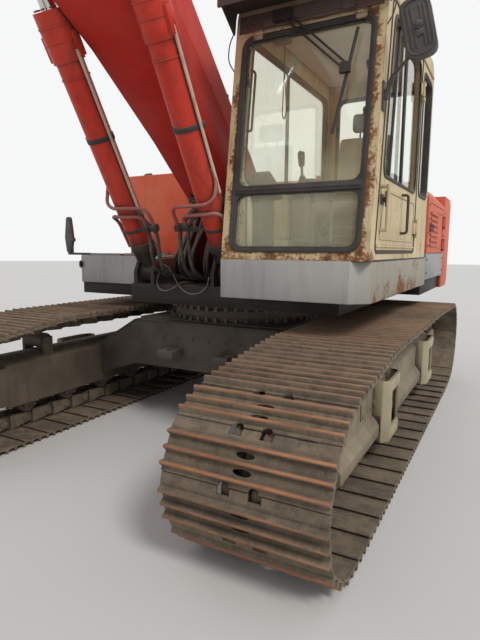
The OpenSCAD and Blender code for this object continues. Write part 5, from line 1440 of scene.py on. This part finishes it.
# %% Seat
SEAT_X = (CAB_X0 + CAB_X1) / 2
SEAT_LOW, CUSHION_Z = FLOOR_Z + 62, FLOOR_Z + 330
# Each cushion's cloth, half its width, and its side view as (y, z) from the cushion's foot
CUSHIONS = {
    "seat_cushion": (seat_cloth, 243, [(-250, 4), (-275, 52), (-252, 114), (-200, 129), (130, 106), (226, 122),
                                       (292, 100), (298, 4)]),
    "seat_back": (back_cloth, 228, [(242, 128), (300, 110), (396, 130), (466, 700), (438, 742), (377, 738),
                                    (347, 688), (302, 300)]),
    "seat_headrest": (headrest_cloth, 124, [(386, 792), (377, 880), (396, 948), (448, 953), (478, 900), (468, 792)]),
}
for name, (cloth, half, points) in CUSHIONS.items():
    view = [(y, CUSHION_Z + z) for y, z in points]
    pad = settle(name, outline(view, SEAT_X - half, SEAT_X + half, 24, 5), cloth, "house",
                 replaces=("seat",), smooth=50)
# The bellows under the seat, folds of unequal width, stand on two rails
seat_frame = []
for k in range(4):
    z, less = SEAT_LOW + 66 * k, 12 * (k % 2)
    seat_frame.append(block((SEAT_X - 186 + less, SEAT_X + 186 - less), (-146 + less, 326 - less), (z, z + 67), 16, 3))
for q in (-1, 1):
    rod_x, rail_x = SEAT_X + q * 60, SEAT_X + q * 200
    seat_frame.append(shaft((rod_x, 420, CUSHION_Z + 690), (rod_x, 432, CUSHION_Z + 800), 8, 1, 14))
    seat_frame.append(block((rail_x - 18, rail_x + 18), (-200, 300), (SEAT_LOW - 2, SEAT_LOW + 30), 6))
settle("seat_frame", seat_frame, plastic, "house", replaces=("seat",))

# %% Levers, armrests and floor
levers, arm_pads = [], []


def stalk(x, y0, z0, y1, z1, *shape, **more):
    """One round part of a lever, between two places whose heights are taken from the cab's floor."""
    levers.append(shaft((x, y0, FLOOR_Z + z0), (x, y1, FLOOR_Z + z1), *shape, **more))


for q in (-1, 1):
    x = SEAT_X + q * 330
    for k in range(4):
        stalk(x, -269 - 3 * k, 598 + 17 * k, -272 - 3 * k, 617 + 17 * k, 44 - 7 * k, 5, 24)
    stalk(x, -299, 736, -312, 800, 23, 8, 20, taper=1.25)
    stalk(x, -312, 792, -320, 852, 30, 12, 20, taper=0.9)
    stalk(x - 12, -316, 850, -317, 860, 7, 2, 12)
    view = [(-150, 612), (-166, 640), (-140, 664), (210, 660), (236, 636), (226, 612)]
    arm_pads.append(outline([(y, FLOOR_Z + z) for y, z in view], x - 46, x + 46, 16, 4))
    x = SEAT_X + q * 70
    stalk(x, -736, 400, -744, 500, 17, 7, 18)
    for k in range(3):
        stalk(x, -702 - 2 * k, 74 + 13 * k, -703 - 2 * k, 88 + 13 * k, 34 - 7 * k, 4, 20)
settle("lever_grips", levers, plastic, "house")
settle("armrests", arm_pads, seat_cloth, "house")
softened("console", 7, "house", "trim_plastic", finish=console_finish)

floor_parts = [block((CAB_X0 + 72, CAB_X1 - 72), (-1190, 330), (FLOOR_Z + 59, FLOOR_Z + 66), 2)]
for y in range(-1150, -718, 36):
    floor_parts.append(block((CAB_X0 + 100, CAB_X1 - 100), (y, y + 12), (FLOOR_Z + 65, FLOOR_Z + 71), 2, 1))
settle("floor_mat", floor_parts, rubber, "house")

# %% Lining, instruments and fittings
MAT_Z = FLOOR_Z + 66
inner = [plan(turned(between(66, -900, 660), 60), ROOF_Z - 78, ROOF_Z - 62, 6),
         block((CAB_X0 + 66, CAB_X1 - 66), (CAB_REAR - 74, CAB_REAR - 62), (MAT_Z, SILL_Z + 50), 5),
         block((CAB_X0 + 62, CAB_X0 + 74), (-1050, CAB_REAR - 76), (MAT_Z, SILL_Z - 12), 5),
         block((CAB_X0 + 74, CAB_X1 - 74), (160, CAB_REAR - 64), (SILL_Z + 50, SILL_Z + 66), 5),
         block((CAB_X0 + 74, CAB_X1 - 74), (430, CAB_REAR - 76), (MAT_Z, FLOOR_Z + 470), 22, 4)]
settle("cab_lining", inner, lining, "house")

box_z = SILL_Z + 40
view = [(y, box_z + z) for y, z in ((-1030, -130), (-1010, 30), (-960, 52), (-740, -60), (-740, -130))]
instruments = [block((CAB_X0 + 70, CAB_X0 + 150), (-990, -760), (MAT_Z, box_z - 130), 18, 3),
               outline(view, CAB_X0 + 66, CAB_X0 + 200, 14, 3)]
for x in (CAB_X0 + 100, CAB_X0 + 132, CAB_X0 + 164):
    instruments.append(shaft((x, -850, box_z - 4), (x, -846, box_z + 8), 12, 3, 16))
for x in (CAB_X1 - 120, CAB_X0 + 120):
    instruments.append(block((x - 60, x + 60), (-760, -560), (ROOF_Z - 118, ROOF_Z - 76), 14, 3))
settle("instruments", instruments, plastic, "house")

yellow = [block((CAB_X0 + 76, CAB_X0 + 84), (-700, 120), (FLOOR_Z + 150, SILL_Z - 40), 6),
          block((CAB_X0 + 120, CAB_X1 - 120), (CAB_REAR - 84, CAB_REAR - 72), (FLOOR_Z + 520, SILL_Z + 30), 6),
          block((SEAT_X - 300, SEAT_X + 300), (452, 470), (FLOOR_Z + 110, FLOOR_Z + 430), 8)]
settle("cab_panels", yellow, cream_paint, "house")
lead = ((130, -600, 66), (134, -602, 280), (148, -600, 480), (146, -584, 590), (120, -560, 640), (94, -536, 590),
        (92, -524, 480), (102, -530, 260), (112, -540, 66))
hose("cab_lead", [(CAB_X0 + x, y, ROOF_Z - down) for x, y, down in lead], **LIMP)
print("inside of the cab dressed")

# %% [markdown]
# ## The house
#
# The panels of the house are CAD solids with sharp edges. Folded sheet has a small round at each edge, which catches
# the light, so copies of these solids are bevelled and stand for them. Caps, latches, handles and bolts are added on
# top, in rows made by loops.

# %% Rounded panels
ROUNDED = [
    ("right_deck", 9, "house", "grey_paint"), ("fuel_tank", 9, "house", "orange_paint"),
    ("house_shell", 6, "house", "orange_paint"), ("counterweight", 14, "house", "orange_paint"),
    ("hood", 8, "hood", "orange_paint"), ("cab_base", 6, "house", "grey_paint"),
    ("cab_door", 3, "cab_door", "cream_paint"), ("carbody", 8, "undercarriage", "frame_paint"),
    ("stick", 6, "stick", "red_paint"), ("track_frame_left", 7, "undercarriage", "frame_paint"),
    ("track_frame_right", 7, "undercarriage", "frame_paint"), ("steps", 7, "undercarriage", "frame_paint"),
    ("bucket", 4, "bucket", "worn_steel"), ("revolving_frame", 5, "house", "red_paint"),
    ("boom", 7, "boom", "red_paint"), ("rocker", 5, "rocker", "red_paint"),
    ("bucket_link", 5, "bucket_link", "red_paint")]
for row in ROUNDED:
    softened(*row)
print("rounded copies:", len(ROUNDED))

# %% Tank, right deck and their fittings
TANK_TOP, TANK_FRONT = FLOOR_Z + 840, 110
cap_x, cap_y = -1350, TANK_FRONT + 150
GAUGE_X, GAUGE_Z = -640, (FLOOR_Z + 180, FLOOR_Z + 700)
tank_parts = [shaft((cap_x, cap_y, TANK_TOP - 21), (cap_x, cap_y, TANK_TOP + 26), 54, 6, 40),
              shaft((cap_x, cap_y, TANK_TOP + 24), (cap_x, cap_y, TANK_TOP + 34), 34, 4, 30),
              block((cap_x - 46, cap_x + 46), (cap_y - 8, cap_y + 8), (TANK_TOP + 26, TANK_TOP + 44), 4),
              pipe([(GAUGE_X, TANK_FRONT - 12, z) for z in GAUGE_Z], 8, 10)]
for z in GAUGE_Z:
    tank_parts.append(block((GAUGE_X - 18, GAUGE_X + 18), (TANK_FRONT - 24, TANK_FRONT + 1), (z - 16, z + 16), 4))
for x in range(-1450, -595, 95):
    tank_parts.append(shaft((x, TANK_FRONT - 1, FLOOR_Z + 22), (x, TANK_FRONT - 10, FLOOR_Z + 22), 9, 2, 6))
settle("tank_fittings", tank_parts, dark_paint, "house")

# A service lid on the deck with its hinges, the step plates, and a dark oval sheet in a rim on the front skirt,
# the painted shade of a hole
LID = (-1380, -760)
deck = [block(LID, (-620, -180), (FLOOR_Z - 3, FLOOR_Z + 9), 5),
        block(LID, (-630, -616), (FLOOR_Z + 2, FLOOR_Z + 20), 4)]
for x in (-1290, -850):
    deck.append(shaft((x - 45, -178, FLOOR_Z + 10), (x + 45, -178, FLOOR_Z + 10), 9, 2, 14))
for row in range(8):
    for column in range(10):
        x, y = -1340 + 60 * column + 30 * (row % 2), -580 + 48 * row
        deck.append(block((x - 13, x + 13), (y - 4, y + 4), (FLOOR_Z + 8, FLOOR_Z + 13), 1.5, 1))
settle("deck_lid", deck, grey_paint, "house")
hole = rect(-1462, -1410, 0, 60)
oval = turned(hole, 25)
at_skirt = lambda a, b, off: (a, -680 - off, FLOOR_Z - 118 + b)
rim = ring(at_skirt, turned(inset(hole, -8), 32), oval, -1, 4, 1)
settle("deck_hole_rim", rim, grey_paint, "house")
settle("deck_hole_shade", sheet_of(at_skirt, oval, -3, 1, 0), hole_shade, "house")

# Crumbs of earth that lie on the deck and on the visor
dice = random.Random(11)
CRUMBS, ON_DECK = 70, 44
crumbs = []
for k in range(CRUMBS):
    if k < ON_DECK:
        spot = (dice.uniform(-1440, -720), dice.uniform(-655, 60), FLOOR_Z + 4)
    else:
        spot = (dice.uniform(CAB_X0 + 30, CAB_X1 - 80), dice.uniform(-1330, -1180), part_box("visor")[1].z * 1000 - 2)
    size = dice.uniform(6, 20)
    mesh = bmesh.new()
    flat = Matrix.Rotation(dice.uniform(0, 3), 4, "Z") @ Matrix.Diagonal((1, dice.uniform(0.6, 1.3), 0.5, 1))
    bmesh.ops.create_icosphere(mesh, subdivisions=2, radius=size / 1000,
                               matrix=Matrix.Translation(place(*spot)) @ flat)
    for vertex in mesh.verts:
        vertex.co += Vector([dice.gauss(0, 1) for _ in range(3)]) * size * 0.00012
    crumbs.append(finished(mesh))
settle("crumbs", crumbs, earth, "house", smooth=60)

# %% Engine house: bolts, latches, handles, pressings, pipe fittings and socket rims
SHELL_FRONT, SHELL_REAR, SHELL_TOP, HALF = 880, 2150, FLOOR_Z + 720, 1500
trim = []
for side in (-1, 1):
    for y in (SHELL_FRONT + 44, SHELL_REAR - 44):
        for k in range(6):
            x, z = side * HALF, FLOOR_Z - 150 + 130 * k
            trim.append(shaft((x - side, y, z), (x + side * 9, y, z), 9, 2, 6))
settle("shell_bolts", trim, bolt_steel, "house")

LATCH_Y, LATCH_Z = SHELL_FRONT + 156, FLOOR_Z + 312
service_fold = rect(SHELL_FRONT + 690, SHELL_REAR - 150, FLOOR_Z + 90, FLOOR_Z + 480)
for word, side in SIDES:
    at_door = lambda y, z, off: (side * (HALF + off), y, z)
    handle = [at_door(LATCH_Y, LATCH_Z + up, out) for up, out in ((-50, 8), (-46, 30), (6, 30), (8, 20))]
    parts = [block(sorted((side * (HALF - 1), side * (HALF + 8))), (LATCH_Y - 26, LATCH_Y + 26),
                   (FLOOR_Z + 250, FLOOR_Z + 340), 4),
             shaft(at_door(LATCH_Y, LATCH_Z, 6), at_door(LATCH_Y, LATCH_Z, 22), 13, 3, 20), pipe(handle, 6, 10, 14)]
    settle(f"service_latch_{word}", parts, dark_paint, f"service_door_{word}")
    fold = ring(at_door, turned(service_fold, 40), turned(inset(service_fold, 16), 34), -2, 6, 2)
    settle(f"service_fold_{word}", fold, shell_paint, f"service_door_{word}")

HOOD_TOP = SHELL_TOP + 90
pressed = rect(-540, 540, 1040, 2020)
lid = [ring(lambda a, b, off: (a, b, HOOD_TOP + off), turned(pressed, 60), turned(inset(pressed, 24), 50), -2, 8, 3)]
for y in range(1180, 1852, 96):
    lid.append(block((-420, 420), (y, y + 26), (HOOD_TOP - 2, HOOD_TOP + 14), 6, 3))
settle("hood_pressing", lid, orange_paint, "hood")
bows = []
for x in (-330, 330):
    bow = [(x + aside, y, SHELL_TOP + 44) for aside, y in ((-80, 2088), (-80, 2108), (80, 2108), (80, 2088))]
    bows.append(pipe(bow, 9, 10, 18))
for x in (-560, 560):
    bows.append(block((x - 20, x + 20), (2083, 2092), (SHELL_TOP + 10, SHELL_TOP + 70), 3))
settle("hood_handles", bows, dark_paint, "hood")

EXHAUST = (-850, 1500)
pipe_parts = [shaft((*EXHAUST, SHELL_TOP + z), (*EXHAUST, SHELL_TOP + z + 14), r, 3, 40)
              for z, r in ((2, 82), (90, 66), (330, 66))]
pipe_parts.append(block((-800, -778), (1488, 1512), (SHELL_TOP + 82, SHELL_TOP + 112), 3))
settle("exhaust_fittings", pipe_parts, wheel_steel, "house")

# Rims of the lifting sockets in the cast counterweight
WEIGHT_TOP = ring_top * 1000 + 88.3 + 1060


def circle(a, b, r, count):
    """Places on a circle, as an outline."""
    return [(a + r * math.cos(t * math.tau / count), b + r * math.sin(t * math.tau / count)) for t in range(count)]


rims = [ring(lambda a, b, off: (a, b, WEIGHT_TOP + off), circle(x, 2650, 62, 40), circle(x, 2650, 43, 40), -1, 6, 2)
        for x in (-600, 600)]
settle("socket_rims", rims, bolt_steel, "house")
print("house dressed")
# %% [markdown]
# ## Under the hood
#
# The CAD model holds a plain block in the engine's place, which the physics needs. What one sees when the hood or a
# service door stands open is a row of cylinder heads, two manifolds, an air filter, and a radiator with its fan, so
# these are drawn from blocks, turned parts and pipes, and stand for the block.

# %% Engine
ENGINE_Y, CRANK_Z, HEAD_Z, FAN_Z = 1600, 1640, 1880, 1630


def engine_block(x, half, z, *edge, aside=0):
    """A block so far out on both sides of the crankshaft's axis, or of a line beside it."""
    return block(x, (ENGINE_Y + aside - half, ENGINE_Y + aside + half), z, *edge)


sump = [(ENGINE_Y + y, z) for y, z in ((-170, 1262), (-110, 1218), (110, 1218), (170, 1262))]
casting = [engine_block((-620, 330), 200, (1246, CRANK_Z), 24, 3),
           engine_block((-600, 310), 150, (CRANK_Z - 6, HEAD_Z), 10, 2), outline(sump, -560, 270, 6),
           engine_block((-745, -610), 130, (1390, 1650), 18, 3),
           shaft((320, ENGINE_Y, 1500), (392, ENGINE_Y, 1500), 150, 8, 40),
           shaft((320, ENGINE_Y, 1760), (400, ENGINE_Y, 1760), 90, 6, 36)]
for x in range(-560, 316, 146):
    casting.append(engine_block((x, x + 124), 132, (HEAD_Z - 4, HEAD_Z + 62), 8))
    casting.append(engine_block((x + 10, x + 114), 84, (HEAD_Z + 58, HEAD_Z + 118), 18, 3))
    for q in (-1, 1):
        bolt = (x + 62, ENGINE_Y + q * 60)
        casting.append(shaft((*bolt, HEAD_Z + 116), (*bolt, HEAD_Z + 128), 12, 2, 6))
        casting.append(engine_block((x + 40, x + 84), 6, (CRANK_Z + 20, HEAD_Z - 20), 4, aside=q * 150))
for x in (-520, 230):
    for q in (-1, 1):
        casting.append(engine_block((x - 50, x + 50), 44, (1216, 1300), 8, aside=q * 196))
settle("engine_casting", casting, dark_paint, "house", replaces=("engine_block",))

# %% Manifolds, filter and pipes
HOT_Y, COLD_Y = ENGINE_Y + 196, ENGINE_Y - 200
manifold = [pipe([(-560, HOT_Y, 1850), (280, HOT_Y, 1850)], 40, 20)]
intake = [pipe([(-560, COLD_Y, 1880), (280, COLD_Y, 1880)], 38, 20)]
for x in range(-498, 378, 146):
    manifold.append(pipe([(x, ENGINE_Y + 126, 1905), (x, ENGINE_Y + 170, 1902), (x, HOT_Y, 1862)], 24, 14, 30))
    intake.append(pipe([(x, ENGINE_Y - 126, 1912), (x, ENGINE_Y - 174, 1910), (x, COLD_Y, 1890)], 24, 14, 30))
manifold.append(pipe([(-550, HOT_Y, 1850), (-700, HOT_Y, 1860), (-850, ENGINE_Y + 150, 1930), (*EXHAUST, 2000),
                      (*EXHAUST, 2140)], 50, 24, 120))
settle("exhaust_manifold", manifold, wheel_steel, "house", smooth=50)
intake += [shaft((x0, 1290, 2000), (x1, 1290, 2000), r, bevel, 48) for x0, x1, r, bevel in (
    (-330, 150, 106, 10), (150, 178, 112, 6), (-250, -232, 110, 3), (60, 78, 110, 3))]
intake += [pipe([(-320, 1290, 2000), (-430, 1290, 2000), (-500, 1340, 1950), (-500, COLD_Y, 1890)], 44, 22, 90),
           block((-240, -200), (1280, 1300), (1600, 1905), 4), block((40, 80), (1280, 1300), (1600, 1905), 4),
           block((-260, 100), (1270, 1440), (1580, 1604), 5)]
settle("air_filter", intake, dark_paint, "house", smooth=50)

# %% Radiator and fan
radiator = [block((700, 800), (1080, 2060), (1226, 1270), 6), block((690, 810), (1080, 2060), (1990, 2070), 14, 3),
            block((706, 794), (1080, 1120), (1262, 1996), 4), block((706, 794), (2020, 2060), (1262, 1996), 4),
            block((730, 770), (1112, 2028), (1262, 1996), 2), shaft((750, 1300, 2064), (750, 1300, 2098), 34, 5, 30)]
for z in range(1272, 1994, 19):
    radiator.append(block((716, 784), (1116, 2024), (z, z + 5)))
shroud = [circle(ENGINE_Y, FAN_Z, r, 48) for r in (352, 338)]
radiator.append(ring(lambda y, z, off: (off, y, z), *shroud, 610, 706, 3))
blade = (Matrix.Translation((0, 0, 0.19)) @ Matrix.Rotation(math.radians(32), 4, "Z")
         @ Matrix.Diagonal((0.006, 0.13, 0.24, 1)))
for k in range(7):
    turn = Matrix.Rotation(math.tau * k / 7, 4, "X")
    radiator.append(moved_cube(Matrix.Translation(place(640, ENGINE_Y, FAN_Z)) @ turn @ blade, 2, 1))
radiator.append(shaft((392, ENGINE_Y, FAN_Z), (660, ENGINE_Y, FAN_Z), 46, 6, 30))
radiator.append(shaft((618, ENGINE_Y, FAN_Z), (668, ENGINE_Y, FAN_Z), 86, 8, 36))
settle("radiator", radiator, dark_paint, "house")
coolant = [pipe([(700, 1300, 2030), (560, 1300, 2040), (430, 1440, 2010), (300, 1530, 1930)], 30, 18, 90),
           pipe([(700, 1900, 1330), (520, 1900, 1330), (420, 1790, 1400), (330, 1700, 1440)], 32, 18, 90)]
settle("coolant_pipes", coolant, rubber, "house", smooth=60)
print("engine dressed")

# %% [markdown]
# ## Undercarriage and slewing ring
#
# The ring is bolted up into the house and down into the carbody, and its bolts show as a row of heads all round.
# Rollers, sprockets and idlers get their hub covers. All of these are rows and circles of the same few parts.

# %% Bolt circles of the slewing ring
def bolt_circle(radius, z, r, height, count, way=1):
    """Hexagon bolt heads with washers in a circle about the slewing axis, upwards or, if way is -1, downwards."""
    parts = []
    for k in range(count):
        angle = math.tau * (k + 0.5) / count
        x, y = radius * math.cos(angle), radius * math.sin(angle)
        parts.append(shaft((x, y, z - way), (x, y, z + way * 4), r * 1.45, 0, 14))
        parts.append(shaft((x, y, z + way * 3), (x, y, z + way * height), r, 1.5, 6))
    return parts


RING_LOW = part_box("slew_ring_lower")[0].z * 1000
COLLAR_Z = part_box("slew_ring_upper")[1].z * 1000 - 52
collar = shaft((0, 0, COLLAR_Z), (0, 0, COLLAR_Z + 30), 700, 4, 96)
settle("ring_collar", collar, ring_steel, "house")
settle("ring_bolts_upper", bolt_circle(682, COLLAR_Z, 17, 38, 50, -1), ring_bolt_steel, "house")
flange = shaft((0, 0, RING_LOW - 1), (0, 0, RING_LOW + 26), 668, 5, 96)
settle("ring_flange", flange, ring_steel, "undercarriage")
settle("ring_bolts_lower", bolt_circle(692, RING_LOW, 15, 30, 50), ring_bolt_steel, "undercarriage")

# %% Carbody: welded lips and cover plates
plates = []
for q in (-1, 1):
    plates.append(block((-690, 690), sorted((q * 556, q * 790)), (RING_LOW - 22, RING_LOW - 12), 4))
    plates.append(block((-420, 420), sorted((q * 779, q * 786)), (560, 760), 6))
    for k in range(6):
        x = -380 + 152 * k
        for z in (582, 738):
            plates.append(shaft((x, q * 785, z), (x, q * 794, z), 11, 2, 6))
    plates.append(pipe([(q * 700, -780, 868), (q * 1120, -780, 618)], 7, 8))
settle("carbody_plates", plates, carbody_paint, "undercarriage")

# %% Hubs, roller feet and covers of both tracks
GAUGE_HALF = GAUGE / 2
ROLLERS = range(-1560, 1880, 430)


def across(x, y, z, r, length, bevel=3, sides=28):
    """A round part on an axle that lies across the machine, from x outwards."""
    return shaft((x, y, z), (x + length, y, z), r, bevel, sides)


for word, side in SIDES:
    # The far side's covers take the darker frame paint of painted shade
    frame_finish = frame_paint if side > 0 else shaded_frame_paint
    hubs = []
    for face in (-1, 1):
        base = side * GAUGE_HALF + face * 98
        for r, out in ((205, 26), (165, 44), (70, 52)):
            hubs.append(across(base, *SPROCKET, r, face * out, 5, 40))
        for y, z in circle(*SPROCKET, 186, 14):
            hubs.append(across(base + face * 20, y, z, 11, face * 16, 2, 6))
        for r, out in ((115, 20), (60, 36)):
            hubs.append(across(base, *IDLER, r, face * out, 5, 36))
    for y in (-1350, 700):
        hubs.append(across(side * GAUGE_HALF - 108, y, 719, 42, 216, 5, 28))
    settle(f"hubs_{word}", hubs, wheel_steel, "undercarriage")
    feet = []
    for y in ROLLERS:
        for face in (-1, 1):
            x = side * GAUGE_HALF + face * 122
            feet.append(block(sorted((x, x + face * 22)), (y - 62, y + 62), (222, 262), 5))
            for bolt_y in (y - 40, y + 40):
                feet.append(shaft((x + face * 11, bolt_y, 224), (x + face * 11, bolt_y, 208), 12, 2, 6))
            feet.append(across(x - face * 18, y, 256, 34, face * 30, 4, 24))
    settle(f"roller_feet_{word}", feet, wheel_steel, "undercarriage")
    outer, hole = side * (GAUGE_HALF + 175), (-900, 470)
    cover = [block(sorted((outer - side, outer + side * 9)), (-1250, -1000), (440, 600), 6),
             across(outer - side * 2, *hole, 40, side * 18, 4, 28)]
    for y in (-1225, -1025):
        for z in (462, 578):
            cover.append(across(outer + side * 7, y, z, 11, side * 9, 2, 6))
    for y in (-1560, -150, 1300):
        cover.append(pipe([(outer, y, 390), (outer, y, 575)], 6, 8))
    settle(f"frame_covers_{word}", cover, frame_finish, "undercarriage")
    # A dark disc in the cover's boss, the painted shade of its bore
    bore_shade = across(outer, *hole, 24, side * 17, 0, 24)
    settle(f"frame_hole_shade_{word}", bore_shade, hole_shade, "undercarriage")
print("undercarriage dressed")

# %% [markdown]
# ## Pin caps of the working arm
#
# Every pivot ends in a bolted cap. The table gives for each pin the body it rides on, its place in the side view,
# the distance of its outer face from the middle, and its radius.

# %% Pin caps
PINS = [("house", -100, 1720, 310, 78), ("boom", -5974, 3766, 234, 92), ("boom", -2950, 4330, 125, 62),
        ("stick", -6488.7, 4378.3, 130, 62), ("stick", -5599.9, 1059.7, 170, 60), ("stick", -5768.2, 1466.5, 160, 58),
        ("bucket", -6024.9, 984.7, 170, 56)]
for number, (body, y, z, x, r) in enumerate(PINS):
    parts = []
    for side in (-1, 1):
        parts.append(across(side * (x - 2), y, z, r, side * 12, 4, 32))
        parts.append(across(side * (x + 9), y, z, r * 0.45, side * 10, 3, 24))
        for angle in (math.tau * (k + 0.5) / 4 for k in range(4)):
            bolt = y + r * 0.72 * math.cos(angle), z + r * 0.72 * math.sin(angle)
            parts.append(across(side * (x + 8), *bolt, 7, side * 9, 1.5, 6))
    settle(f"pin_caps_{number + 1}", parts, bolt_steel, body)
print("pin caps:", len(PINS))
